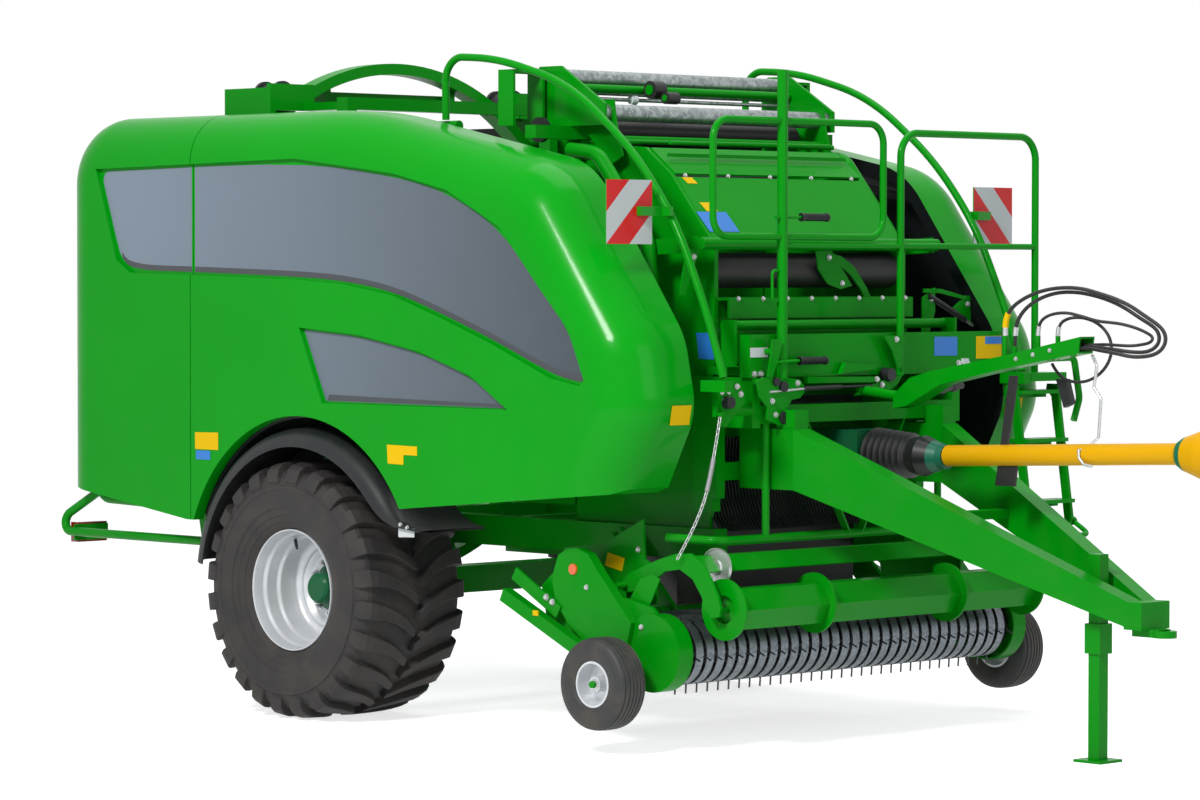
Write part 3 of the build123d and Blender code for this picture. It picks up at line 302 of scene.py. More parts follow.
def board_stripes():
    """Red and white stripes on the front face of the boards, green paint elsewhere."""
    stripe_pair, first_stripe, board_face = 0.282, 3.602, at(2084, 0, 0).x
    tree, shader, place = start_finish("striped_board", coat=0.2, specular=0.3)
    shader["Roughness"].default_value = 0.35
    where = xyz(tree, place)
    slant = maths(tree, "ADD", where["Z"], maths(tree, "ABSOLUTE", where["Y"]))
    pairs = maths(tree, "DIVIDE", maths(tree, "SUBTRACT", slant, first_stripe), stripe_pair)
    pale = maths(tree, "LESS_THAN", maths(tree, "FLOORED_MODULO", pairs, 1.0), 0.5)
    stripes = mix(tree, pale, (0.62, 0.006, 0.008, 1), (0.52, 0.55, 0.57, 1))
    on_face = maths(tree, "COMPARE", where["X"], board_face, 0.0003)
    tree.links.new(mix(tree, on_face, (*GREEN, 1), stripes), shader["Base Color"])


# Painted shade: the inner faces of the side panels go nearly black, for the shade inside the machine.
recolour("green_body", (0.008, 0.010, 0.011), inside)
recolour("bellows_rubber", (0.010, 0.13, 0.075), between(2790, 2900))
recolour("shaft_plastic", (0.010, 0.15, 0.075), between(4172, 4212))
weather("grey_foil", foil_tone, 0.3, 0.1, 900, 0.03, 0.08, 0.03, coat=0.15, metal=0.1, specular=0.2)
# Painted shade: the dark strip along the lower edge of each grey field.
weather("painted_shade_foil", (0.030, 0.036, 0.045), 0.32, grain=0.05, dust=0.02, drift=0.05, bump=0.0, coat=0.3)
board_stripes()
print("all finishes", len(FINISHES))

# %% [markdown]
# Lugs, nuts, bolts and chain links all repeat. Three small Geometry Nodes trees do the repeating:
# one turns copies round an axle, one walks copies along a straight line, and one threads copies
# along a curve with every second one turned. Each ends in real mesh with its finish set.

# %% Geometry Nodes: shared steps
def new_tree(name, *inputs):
    """A Geometry Nodes tree with a part to repeat, a finish and its own inputs."""
    shared = [("Geometry", "Geometry"), ("Part", "Object"), ("Finish", "Material")]
    return new_group(name, "GeometryNodeTree", shared + list(inputs), [("Geometry", "Geometry")])


def copies_on(tree, gets, gives, points, **turned_by):
    """Instances the part on points, makes the copies real and sets their finish."""
    part = add_node(tree, "GeometryNodeObjectInfo", {"Object": gets["Part"]}, transform_space="ORIGINAL")
    feeds = {"Points": points, "Instance": part.outputs["Geometry"], **turned_by}
    spread = add_node(tree, "GeometryNodeInstanceOnPoints", feeds).outputs[0]
    real = add_node(tree, "GeometryNodeRealizeInstances", {0: spread}).outputs[0]
    finish = add_node(tree, "GeometryNodeSetMaterial", {"Geometry": real, "Material": gets["Finish"]})
    tree.links.new(finish.outputs[0], gives["Geometry"])
    print(tree.name, "has", len(tree.nodes), "nodes")


# %% Tree: ring of parts
ring_tree, gets, gives = new_tree(
    "Ring of Parts", ("Count", "Int", 8), ("Centre", "Vector"), ("Phase", "Float", 0.0),
)
points = add_node(ring_tree, "GeometryNodePoints", {"Count": gets["Count"], "Position": gets["Centre"]})
share = maths(ring_tree, "DIVIDE", add_node(ring_tree, "GeometryNodeInputIndex").outputs[0], gets["Count"])
turn = maths(ring_tree, "MULTIPLY_ADD", share, 2 * math.pi, gets["Phase"])
about_y = add_node(ring_tree, "ShaderNodeCombineXYZ", {"Y": turn}).outputs[0]
copies_on(ring_tree, gets, gives, points.outputs[0], Rotation=about_y)

# %% Tree: row of parts
row_tree, gets, gives = new_tree("Row of Parts", ("Count", "Int", 4), ("First", "Vector"), ("Step", "Vector"))
feeds = {"Count": gets["Count"], "Start Location": gets["First"], "Offset": gets["Step"]}
copies_on(row_tree, gets, gives, add_node(row_tree, "GeometryNodeMeshLine", feeds, mode="OFFSET").outputs[0])

# %% Tree: links along a path
chain_tree, gets, gives = new_tree("Links Along a Path", ("Pitch", "Float", 0.03))
# A little is left free at each end, so that the end links stay on the curve.
feeds = {"Curve": gets["Geometry"], "Start": 0.02, "End": 0.98}
kept = add_node(chain_tree, "GeometryNodeTrimCurve", feeds, mode="FACTOR").outputs["Curve"]
feeds = {"Curve": kept, "Length": gets["Pitch"]}
points = add_node(chain_tree, "GeometryNodeCurveToPoints", feeds, mode="LENGTH").outputs
number = add_node(chain_tree, "GeometryNodeInputIndex").outputs[0]
quarter = maths(chain_tree, "MULTIPLY", number, math.pi / 2)
spin = add_node(chain_tree, "ShaderNodeCombineXYZ", {"Z": quarter}).outputs[0]
feeds = {"Rotation": points["Rotation"], "Rotate By": spin}
turned = add_node(chain_tree, "FunctionNodeRotateRotation", feeds, rotation_space="LOCAL").outputs[0]
copies_on(chain_tree, gets, gives, points[0], Rotation=turned)

# %% [markdown]
# A solid is made by a function that fills an empty shape. A tree runs on a host object whose inputs
# are set by their identifiers; the result is taken as a plain mesh, and the host is thrown away.

# %% Making pieces
def add_object(name, data):
    """Puts a mesh or a curve in the scene."""
    made = bpy.data.objects.new(name, data)
    bpy.context.scene.collection.objects.link(made)
    return made


def solid(name, fill, finish, *given):
    """Makes an object from a shape that a function fills, with its normals outwards."""
    shape = bmesh.new()
    fill(shape, *given)
    bmesh.ops.recalc_face_normals(shape, faces=shape.faces)
    mesh = bpy.data.meshes.new(name)
    shape.to_mesh(mesh)
    shape.free()
    mesh.materials.append(FINISHES[finish])
    return add_object(name, mesh)


def grow(name, tree, fill, finish, *given, host=None, **values):
    """Runs a tree over a part that a function fills, and returns the plain mesh that comes out."""
    part = solid("part", fill, finish, *given)
    host = host or add_object("host", bpy.data.meshes.new("host"))
    modifier = host.modifiers.new("tree", "NODES")
    modifier.node_group = tree
    wanted = {"Part": part, "Finish": FINISHES[finish], **values}
    for item in tree.interface.items_tree:
        if item.in_out == "INPUT" and item.name in wanted:
            modifier[item.identifier] = wanted[item.name]
    host.update_tag()
    mesh = bpy.data.meshes.new_from_object(host.evaluated_get(bpy.context.evaluated_depsgraph_get()))
    for used in (host, part):
        bpy.data.objects.remove(used)
    return add_object(name, mesh)


def join(name, *parts):
    """Makes one object of several, keeping each face's finish."""
    whole, finishes = bmesh.new(), []
    for part in parts:
        start = len(whole.faces)
        whole.from_mesh(part.data)
        whole.faces.ensure_lookup_table()
        for face in whole.faces[start:]:
            finish = part.data.materials[face.material_index]
            if finish not in finishes:
                finishes.append(finish)
            face.material_index = finishes.index(finish)
        bpy.data.objects.remove(part)
    mesh = bpy.data.meshes.new(name)
    whole.to_mesh(mesh)
    whole.free()
    for finish in finishes:
        mesh.materials.append(finish)
    return add_object(name, mesh)


def smooth(piece, angle):
    """Shades a piece smooth, with creases where it bends by more than an angle."""
    piece.data.shade_smooth()
    piece.data.set_sharp_from_angle(angle=angle)


def settle(piece, body, node=None):
    """Names the body that a piece rides, and the CAD node that it replaces."""
    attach(piece, body)
    if node:
        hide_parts(node)
    print(piece.name, "rides", body)


print("pieces can be made")

# %% [markdown]
# Most small parts start from the same few forms: a bar between two points, a rod through a line of
# points, a flat outline given some thickness, and a profile turned about an axle. All but the bar
# are rings of points joined by one skin, and so is everything that is swept further on.

# %% Small forms
def add_skin(shape, rings, closed=False, first=0):
    """Skins rings of places with faces; an open run is capped, a closed one joins up."""
    rings = [[shape.verts.new(place) for place in ring] for ring in rings]
    if not closed:
        shape.faces.new(rings[0])
        shape.faces.new(rings[-1][::-1])
    for one, other in zip(rings, rings[1:] + rings[:1] if closed else rings[1:]):
        for n in range(first, len(one)):
            shape.faces.new((one[n - 1], other[n - 1], other[n], one[n]))


def add_bar(shape, start, end, radius, sides=16, tip=None):
    """A round bar or a cone between two points."""
    run = Vector(end) - Vector(start)
    turn = run.to_track_quat("Z", "Y").to_matrix().to_4x4()
    bmesh.ops.create_cone(
        shape, cap_ends=True, segments=sides, radius1=radius, radius2=radius if tip is None else tip,
        depth=run.length, matrix=Matrix.Translation((Vector(start) + Vector(end)) / 2) @ turn,
    )


def add_rod(shape, spots, radius, sides=12):
    """A closed round bar through a line of points, its rings carried along without a twist."""
    spots = [Vector(spot) for spot in spots]
    aside, rings = (spots[1] - spots[0]).orthogonal(), []
    turns = [2 * math.pi * k / sides for k in range(sides)]
    for n, spot in enumerate(spots):
        run = (spots[min(n + 1, len(spots) - 1)] - spots[max(n - 1, 0)]).normalized()
        aside = (aside - run * aside.dot(run)).normalized()
        rings.append([spot + radius * (math.cos(a) * aside + math.sin(a) * run.cross(aside)) for a in turns])
    add_skin(shape, rings)


def add_plate(shape, corners, thickness):
    """A flat outline of points, thickened along a vector."""
    shifts = (0, 0, 0), thickness
    add_skin(shape, [[Vector(corner) + Vector(shift) for corner in corners] for shift in shifts])


def add_turned(shape, centre, section, steps, first=0):
    """A closed profile of (along Y, radius) turned about an axle through a centre."""
    turns = [2 * math.pi * n / steps for n in range(steps)]
    add_skin(shape, [
        [Vector(centre) + Vector((math.sin(turn) * up, along, math.cos(turn) * up)) for along, up in section]
        for turn in turns
    ], closed=True, first=first)


print("small forms ready")

# %% [markdown]
# Three hydraulic hoses rise from fittings on the carrier arm, swing forward in one long loop and
# come home into the arm's open mouth; a fourth loops down beside the arm. Each is one smooth NURBS
# curve along the same stations as its CAD tube, given its thickness by the curve's own bevel.

# %% Routes of the hoses and the chain
ROUTES = {
    "hose_feed": [
        (3207, -15, 1835), (3207, -15, 1895), (3231, -12, 1949), (3290, -6, 1993), (3382, 6, 2031),
        (3490, 18, 2048), (3599, 28, 2045), (3682, 42, 2024), (3768, 58, 1999), (3838, 72, 1968),
        (3902, 84, 1928), (3985, 88, 1883), (4018, 83, 1845), (4034, 57, 1804), (4029, 18, 1771),
        (4004, -23, 1756), (3950, -62, 1753), (3879, -82, 1769), (3775, -74, 1781), (3690, -32, 1788),
        (3582, -28, 1786),
    ],
    "hose_return": [
        (3243, 10, 1788), (3243, 10, 1846), (3257, 10, 1905), (3298, 16, 1957), (3369, 26, 2001),
        (3463, 38, 2027), (3559, 50, 2028), (3649, 62, 2013), (3723, 80, 1990), (3787, 96, 1960),
        (3862, 106, 1916), (3941, 100, 1881), (3972, 96, 1850), (3989, 74, 1815), (3987, 41, 1787),
        (3967, 4, 1772), (3917, -34, 1774), (3850, -52, 1784), (3748, -40, 1791), (3680, -10, 1796),
        (3582, -6, 1794),
    ],
    "hose_inner": [
        (3390, -10, 1837), (3390, -10, 1888), (3438, -4, 1928), (3526, 8, 1941), (3599, 28, 1924),
        (3665, 56, 1902), (3719, 84, 1897), (3766, 108, 1890), (3832, 122, 1873), (3892, 123, 1851),
        (3921, 114, 1838), (3940, 91, 1823), (3944, 61, 1811), (3932, 30, 1805), (3900, 0, 1799),
        (3837, -12, 1801), (3759, -8, 1804), (3688, 12, 1801), (3582, 14, 1799),
    ],
    "hose_loop": [
        (3464, 36, 1836), (3464, 36, 1884), (3500, 62, 1916), (3572, 86, 1918), (3660, 90, 1886),
        (3716, 88, 1827), (3723, 86, 1754), (3678, 85, 1684), (3591, 86, 1637), (3491, 85, 1635),
        (3422, 84, 1668), (3393, 82, 1714),
    ],
    "lift_chain": [(2351, -929, 1478), (2352, -975, 1260), (2348, -1048, 1040), (2256, -1098, 856)],
}


def route_curve(name):
    """One open NURBS spline through a route's stations."""
    curve = bpy.data.curves.new(name, "CURVE")
    curve.dimensions, curve.resolution_u = "3D", 8
    spline = curve.splines.new("NURBS")
    spline.points.add(len(ROUTES[name]) - 1)
    for point, station in zip(spline.points, ROUTES[name]):
        point.co = (*at(*station), 1)
    spline.order_u, spline.use_endpoint_u = 3, True
    return curve


def line_points(curve):
    """The points that a curve without bevel passes through, and the length along them."""
    line = add_object("line", curve)
    mesh = bpy.data.meshes.new_from_object(line.evaluated_get(bpy.context.evaluated_depsgraph_get()))
    found = [vertex.co.copy() for vertex in mesh.vertices]
    bpy.data.objects.remove(line)
    bpy.data.meshes.remove(mesh)
    return found, sum((after - before).length for before, after in zip(found, found[1:]))


def sleeve_on(name, line, start, end, radius, finish):
    """A sleeve round a line of points, between two lengths from its start."""
    kept, along = [], 0.0
    for before, after in zip(line, line[1:]):
        step = (after - before).length
        for want in (start, end):
            if along <= want < along + step:
                kept.append(before.lerp(after, (want - along) / step))
        along += step
        if start < along < end:
            kept.append(after)
    return solid(name, add_rod, finish, kept, radius, 16)


HOSES = {
    # name: thickness, then what is crimped on its foot, from and to along it, radius and finish
    "hose_feed": (0.017, [
        ("crimp", 0.0, 0.036, 0.0125, "bright_zinc"), ("sleeve", 0.036, 0.100, 0.0135, "warning_yellow"),
    ]),
    "hose_return": (0.017, [("crimp", 0.047, 0.085, 0.0120, "bright_zinc")]),
    "hose_inner": (0.014, [("crimp", 0.0, 0.042, 0.0105, "bright_zinc")]),
    "hose_loop": (0.014, [("crimp", 0.0, 0.040, 0.0105, "bright_zinc")]),
}
for hose_name, (thick, feet) in HOSES.items():
    curve = route_curve(hose_name)
    line, length = line_points(curve)
    for part_name, start, end, radius, finish in feet:
        foot = sleeve_on(f"{hose_name}_{part_name}", line, start, end, radius, finish)
        settle(foot, "machine")
    curve.bevel_depth, curve.bevel_resolution, curve.use_fill_caps = thick / 2, 3, True
    curve.materials.append(FINISHES["black_rubber"])
    hose = add_object(hose_name + "_run", curve)
    settle(hose, "machine", hose_name)
    print(hose.name, "length", round(length, 3))

# %% [markdown]
# The lift chain hangs between a bracket under the platform and the pickup's lug. A link is a round
# bar bent to an oblong; the links are threaded along the chain's own curve, every second one
# turned a quarter, which is what makes a run of links read as chain.

# %% Lift chain
LINK_STRAIGHT, LINK_BEND, LINK_WIRE = 0.019, 0.00625, 0.00275


def fill_link(shape):
    """One link about the origin, its long side along Z."""
    line, rings = [], []
    for end in (1, -1):
        for n in range(5):
            turn = math.pi * n / 4
            up = end * (LINK_STRAIGHT / 2 + math.sin(turn) * LINK_BEND)
            line.append(Vector((end * math.cos(turn) * LINK_BEND, 0, up)))
    for n, spot in enumerate(line):
        run = line[(n + 1) % len(line)] - line[n - 1]
        outward = Vector((run.z, 0, -run.x)).normalized()
        turns = [2 * math.pi * k / 6 for k in range(6)]
        around = [math.cos(a) * outward + Vector((0, math.sin(a), 0)) for a in turns]
        rings.append([spot + LINK_WIRE * away for away in around])
    add_skin(shape, rings, closed=True)


curve = route_curve("lift_chain")
line, length = line_points(curve)
chain = grow(
    "lift_chain_links", chain_tree, fill_link, "bright_zinc", host=add_object("chain host", curve),
    Pitch=LINK_STRAIGHT + 2 * (LINK_BEND - LINK_WIRE),
)
chain.data.shade_smooth()
spring = sleeve_on("chain_spring", line, 0.185, 0.335, 0.0105, "spring_wire")
settle(chain, "machine", "lift_chain")
settle(spring, "machine")
print("chain length", round(length, 3))

# %% [markdown]
# The ground is a plain pale floor that runs far back. Both it and the background are white only to
# the camera and to what mirrors or lets through their light, so that the machine is lit by the
# lamps and not by the backdrop. Neither is a piece of the machine.

# %% Floor and background
def by_ray(tree, lit, seen):
    """Shows one shader to the camera and to mirrored and passing rays, another to all other light."""
    path = add_node(tree, "ShaderNodeLightPath").outputs
    share = maths(tree, "MAXIMUM", path["Is Camera Ray"], path["Is Glossy Ray"])
    share = maths(tree, "MAXIMUM", share, path["Is Transmission Ray"])
    return add_node(tree, "ShaderNodeMixShader", {0: share, 1: lit, 2: seen}).outputs[0]


floor_mesh = bpy.data.meshes.new("floor")
floor_mesh.from_pydata([(-60, -60, 0), (60, -60, 0), (60, 60, 0), (-60, 60, 0)], [], [(0, 1, 2, 3)])
tree, shader, place = start_finish("floor", specular=0.2)
shader["Base Color"].default_value = (0.86, 0.86, 0.86, 1)
shader["Roughness"].default_value = 0.9
lit = tree.nodes["Principled BSDF"].outputs[0]
pale = add_node(tree, "ShaderNodeEmission", {"Color": (1, 1, 1, 1), "Strength": 0.72}).outputs[0]
seen = add_node(tree, "ShaderNodeAddShader", {0: lit, 1: pale}).outputs[0]
tree.links.new(by_ray(tree, lit, seen), tree.nodes["Material Output"].inputs["Surface"])
floor_mesh.materials.append(FINISHES["floor"])
add_object("floor", floor_mesh)

world = bpy.data.worlds.new("world")
bpy.context.scene.world = world
world.use_nodes = True
tree = world.node_tree
tree.nodes.clear()
dim, white = [
    add_node(tree, "ShaderNodeBackground", {"Color": colour, "Strength": strength}).outputs[0]
    for colour, strength in (((0.90, 0.94, 1.0, 1), 0.30), ((1, 1, 1, 1), 1.0))
]
add_node(tree, "ShaderNodeOutputWorld", {"Surface": by_ray(tree, dim, white)})
bpy.context.scene.view_settings.view_transform = "Standard"
print("floor and white background set")

# %% [markdown]
# Three soft lamps: a large key high on the camera's left that models the side panel's rounded
# front, a wide fill from the right for the drawbar and the front, and one overhead for the rails.

# %% Lamps
LAMPS = {
    # name: place, what it faces, size, power, colour
    "key": ((3.2, -10.2, 9.0), (0, -0.5, 1.2), 2.2, 1250, (1.0, 0.98, 0.95)),
    "front_fill": ((10.0, -1.0, 5.0), (0.5, 0, 1.0), 5.0, 130, (0.95, 0.98, 1.0)),
    "overhead": ((0.0, 1.0, 10.0), (0, 0, 1), 6.0, 330, (1, 1, 1)),
}
for name, (place, aim, size, power, colour) in LAMPS.items():
    data = bpy.data.lights.new(name, "AREA")
    data.size, data.energy, data.color = size, power, colour
    lamp = add_object(name, data)
    lamp.location, lamp.rotation_mode = place, "QUATERNION"
    lamp.rotation_quaternion = (Vector(aim) - Vector(place)).to_track_quat("-Z", "Y")
print("lamps", list(LAMPS))

# %% [markdown]
# The CAD bodies that already have the right shape only need their finish.

# %% Paint the CAD nodes
DRESSED = {
    "green_body": "rear_panel_right rear_panel_left side_door_right side_door_left",
    "green_paint": "axle_beam chassis_frame front_frame cross_tubes panel_frame wrap_frame chamber_walls"
    " film_frame arc_rails guard_rails drawbar parking_jack hose_arm wrap_ring table_frame tailgate_walls"
    " pickup_frame crop_guide crop_roller ladder ladder_step platform_deck film_dispensers",
    "dark_green_paint": "hub_right hub_left gearbox",
    "tyre_rubber": "tyre_right tyre_left gauge_tyre_right gauge_tyre_left",
    "silver_paint": "rim_right rim_left gauge_rim_right gauge_rim_left",
    "black_plastic": "mudguards ring_rollers",
    "dark_steel": "front_rollers tailgate_rollers table_rollers tine_reel",
    "black_rubber": "black_rollers hose_feed hose_return hose_inner hose_loop",
    "zinc_steel": "film_rods shaft_yoke",
    "band_steel": "stripper_bands",
    # Painted shade: the intake housing is painted black for the deep shade inside the front.
    "black_steel_and_painted_shade": "intake_housing",
    "film_wrap": "film_rolls",
    "bellows_rubber": "shaft_bellows",
    "shaft_plastic": "shaft_guard",
    "lamp_plastic": "rear_lamps",
    "bright_zinc": "lift_chain",
    "striped_board": "warning_boards",
}
for finish, names in DRESSED.items():
    for name in names.split():
        materials = frame["nodes"][name].data.materials
        materials.clear()
        materials.append(FINISHES[finish])
print("painted", sum(len(names.split()) for names in DRESSED.values()), "of", len(frame["nodes"]), "nodes")

# %% [markdown]
# The main tyres are wide flotation tyres. Their carcass is one profile turned about the axle, with
# a rib low on the sidewall and a guard rib by the shoulder. The lugs are what one sees from far
# off: each is a curved bar that leaves the shoulder almost square and sweeps towards the middle.

# %% Tyre profiles
TYRE_HALF_PROFILE = [
    (0.250, 0.2885), (0.266, 0.293), (0.28, 0.312), (0.285, 0.322), (0.2879, 0.323), (0.2919, 0.333),
    (0.2988, 0.352), (0.3022, 0.354), (0.3042, 0.360), (0.3086, 0.388), (0.3121, 0.390), (0.3131, 0.397),
    (0.3145, 0.440), (0.3145, 0.473), (0.319, 0.478), (0.3195, 0.486), (0.318, 0.493), (0.3121, 0.497),
    (0.3066, 0.522), (0.2958, 0.545), (0.281, 0.559), (0.262, 0.567), (0.200, 0.572), (0.100, 0.574),
    (0.000, 0.575),
]
TYRE_INNER_HALF = [
    (0.240, 0.2885), (0.262, 0.330), (0.288, 0.400), (0.285, 0.480), (0.262, 0.536), (0.200, 0.552),
    (0.000, 0.556),
]
# Stations of one lug as (across the tread, round it, half width, top radius, root radius).
LUG_STATIONS = [
    (0.008, 0.066, 0.022, 0.6095, 0.570), (0.030, 0.052, 0.028, 0.6108, 0.570),
    (0.075, 0.018, 0.029, 0.6108, 0.570), (0.130, -0.012, 0.031, 0.6105, 0.568),
    (0.195, -0.036, 0.035, 0.6085, 0.566), (0.250, -0.047, 0.040, 0.6040, 0.560),
    (0.2859, -0.051, 0.044, 0.5940, 0.545), (0.3086, -0.052, 0.046, 0.5740, 0.525),
    (0.317, -0.052, 0.046, 0.5480, 0.505), (0.319, -0.052, 0.042, 0.5180, 0.494),
]
LUG_COUNT, SHOULDER, SHOULDER_LEAN = 24, 0.3, -0.02


def tyre_section(outer, inner):
    """The closed section of a tyre from two half profiles, outside and back along the inside."""
    whole = [half + [(-along, up) for along, up in half[::-1] if along] for half in (outer, inner)]
    return whole[0] + whole[1][::-1]


def fill_lug(shape, half):
    """One lug of a half tread, with sides that lean in towards its top."""
    rings = []
    for across, middle, wide, top, root in LUG_STATIONS:
        ring = []
        for edge, up in (
            (-wide - 0.005, root), (-wide + 0.002, top - 0.004), (-wide + 0.006, top),
            (wide - 0.006, top), (wide - 0.002, top - 0.004), (wide + 0.005, root),
        ):
            turn = (middle + edge) * 1000 / WHEEL_Z
            lean = SHOULDER_LEAN if across > SHOULDER and up == root else 0
            ring.append(Vector((math.sin(turn) * up, half * (across + lean), math.cos(turn) * up)))
        rings.append(ring)
    add_skin(shape, rings)


for side_name, side in SIDES.items():
    centre = at(0, side * WHEEL_Y, WHEEL_Z)
    section = tyre_section(TYRE_HALF_PROFILE, TYRE_INNER_HALF)
    parts = [solid("carcass", add_turned, "tyre_rubber", centre, section, 96)]
    for half in (-1, 1):
        phase = half * math.pi / LUG_COUNT / 2
        parts.append(grow(
            "lugs", ring_tree, fill_lug, "tyre_rubber", half, Count=LUG_COUNT, Centre=centre, Phase=phase,
        ))
    settle(join(f"tyre_{side_name}_tread", *parts), f"wheel_{side_name}", f"tyre_{side_name}")

# %% [markdown]
# The rim is a deep dish. Its barrel steps down twice towards the disc, the outer lip is rolled, and
# the disc swells into a ring before it meets the hub.

# %% Main rims
RIM_PROFILE = [
    (0.258, 0.2875), (0.266, 0.2882), (0.2705, 0.2855), (0.2705, 0.2815), (0.266, 0.2785), (0.258, 0.2775),
    (0.250, 0.2735), (0.222, 0.2715), (0.213, 0.2675), (0.206, 0.2605), (0.196, 0.2575), (0.150, 0.2560),
    (0.141, 0.2520), (0.134, 0.2445), (0.124, 0.2420), (0.062, 0.2405), (0.046, 0.2370), (0.034, 0.2290),
    (0.026, 0.2180), (0.024, 0.2050), (0.032, 0.1960), (0.034, 0.1860), (0.028, 0.1760), (0.014, 0.1660),
    (0.008, 0.1560), (0.006, 0.1130), (-0.016, 0.1130), (-0.016, 0.2500), (-0.258, 0.2720), (-0.258, 0.2860),
]
for side_name, side in SIDES.items():
    section = [(side * along, up) for along, up in RIM_PROFILE]
    centre = at(0, side * WHEEL_Y, WHEEL_Z)
    rim = solid(f"rim_{side_name}_stepped", add_turned, "silver_paint", centre, section, 112)
    smooth(rim, 0.7)
    settle(rim, f"wheel_{side_name}", f"rim_{side_name}")

# %% [markdown]
# The pickup's gauge wheels are small trailer tyres with plain grooves round the tread, so the
# grooves are part of the turned profile.

# %% Gauge tyres
GAUGE_HALF_PROFILE = [
    (0.062, 0.1025), (0.068, 0.106), (0.074, 0.116), (0.080, 0.136), (0.0825, 0.156), (0.080, 0.174),
    (0.074, 0.188), (0.068, 0.1955), (0.060, 0.2000), (0.0565, 0.1965), (0.053, 0.1965), (0.050, 0.2025),
    (0.036, 0.2040), (0.034, 0.2000), (0.030, 0.2000), (0.028, 0.2043), (0.014, 0.2048), (0.012, 0.2008),
    (0.008, 0.2008), (0.006, 0.2050), (0.000, 0.2050),
]
GAUGE_INNER_HALF = [(0.056, 0.1025), (0.066, 0.160), (0.050, 0.183), (0.0, 0.186)]
for side_name, side in SIDES.items():
    section = tyre_section(GAUGE_HALF_PROFILE, GAUGE_INNER_HALF)
    centre = at(GAUGE_X, side * GAUGE_Y, GAUGE_Z)
    gauge = solid(f"gauge_tyre_{side_name}_grooved", add_turned, "gauge_rubber", centre, section, 72)
    gauge.data.shade_flat()
    settle(gauge, f"gauge_{side_name}", f"gauge_tyre_{side_name}")

# %% [markdown]
# The grey fields on the side panels are thin foil sheets stuck into a sunk bed. Their outline is
# the bed's own, drawn in a little and rounded by cutting its corners twice, so that it always
# stays inside the bed. The long one is cut at the door's seam, since its two parts move apart.
# Along the lower edge of each field lies a dark strip, a second thin sheet that is painted shade.

# %% Outlines of the fields
FIELD = [
    (-1440, 2615), (70, 2640), (770, 2560), (1130, 2480), (1480, 2310), (1730, 2050), (1920, 1860),
    (2020, 1640), (1990, 1615), (1810, 1645), (1420, 1795), (1090, 1905), (760, 2005), (420, 2055),
    (70, 2075), (-680, 2095), (-1170, 2105), (-1280, 2170),
]
SMALL_FIELD = [(105, 1850), (530, 1820), (945, 1750), (1290, 1645), (1530, 1500), (270, 1500)]
SEAM_X, SEAM_GAP, FOIL_Y, BAND_WIDE = -700, 12, 1420.4, 26
FOIL_THICK = 0.0006


def drawn_in(outline, inset):
    """A clockwise outline moved inwards by an inset along both neighbours' normals."""
    moved = []
    for n, here in enumerate(outline):
        before, after = outline[n - 1], outline[(n + 1) % len(outline)]
        one = Vector((here[0] - before[0], here[1] - before[1])).normalized()
        two = Vector((after[0] - here[0], after[1] - here[1])).normalized()
        inward = Vector((one.y, -one.x)) + Vector((two.y, -two.x))
        moved.append(Vector(here) + inward * inset / max(0.35, 0.5 * inward.length_squared))
    return moved


def rounded(outline, corner):
    """An outline with gentle bends cut at a quarter of their sides and sharp corners cut short."""
    cut = []
    for n, here in enumerate(outline):
        run_in, run_out = here - outline[n - 1], outline[(n + 1) % len(outline)] - here
        longest = corner if abs(run_in.angle_signed(run_out)) > 0.6 else 1000
        cut.append(here - run_in.normalized() * min(0.25 * run_in.length, longest))
        cut.append(here + run_out.normalized() * min(0.25 * run_out.length, longest))
    return cut


def fill_foil(shape, outline, side, lift, low_x, high_x):
    """A flat outline as one face between two X limits, given a thickness."""
    shape.faces.new([shape.verts.new(at(x, side * (FOIL_Y + lift), z)) for x, z in outline])
    for limit, outward in ((low_x, -1), (high_x, 1)):
        bmesh.ops.bisect_plane(
            shape, geom=shape.verts[:] + shape.edges[:] + shape.faces[:], plane_co=at(limit, 0, 0),
            plane_no=(outward, 0, 0), clear_outer=True,
        )
    raised = bmesh.ops.extrude_face_region(shape, geom=shape.faces[:])["geom"]
    corners = [corner for corner in raised if isinstance(corner, bmesh.types.BMVert)]
    bmesh.ops.translate(shape, verts=corners, vec=(0, side * FOIL_THICK, 0))


field = rounded(rounded(drawn_in(FIELD, 14), 40), 12)
small_field = rounded(drawn_in(SMALL_FIELD, 10), 4)
band_start = min(range(len(field)), key=lambda n: field[n].y - 0.4 * field[n].x)
band_end = min(range(len(field)), key=lambda n: field[n].x + field[n].y)
lower_edge = field[band_start:band_end + 1]
# The dark strip along the field's lower edge is painted shade.
shade_band = lower_edge + [Vector((x, z + BAND_WIDE)) for x, z in lower_edge[::-1]]
small_shade_band = [(288, 1512), (300, 1540), (1468, 1522), (1480, 1512)]
print("field outline", len(field), "points, small one", len(small_field))

# %% Foil on both sides
FOILS = {
    "rear": ((-2000, SEAM_X - SEAM_GAP), (("grey_foil", field, 0.0), ("painted_shade_foil", shade_band, 0.5))),
    "front": ((SEAM_X + SEAM_GAP, 2600), (
        ("grey_foil", field, 0.0), ("painted_shade_foil", shade_band, 0.5), ("grey_foil", small_field, 0.0),
        ("painted_shade_foil", small_shade_band, 0.5),
    )),
}
for side_name, side in SIDES.items():
    for part_name, (limits, layers) in FOILS.items():
        parts = [
            solid("foil", fill_foil, finish, outline, side, lift, *limits)
            for finish, outline, lift in layers
        ]
        body = "machine" if part_name == "rear" else f"door_{side_name}"
        settle(join(f"foil_{side_name}_{part_name}", *parts), body)

# %% [markdown]
# Blank information plates in yellow, blue and white sit where an operator would look. Each row of
# the table is a finish, the body it is stuck to, the way it faces and its corners. They are one
# and a half millimetres thick and carry no words.

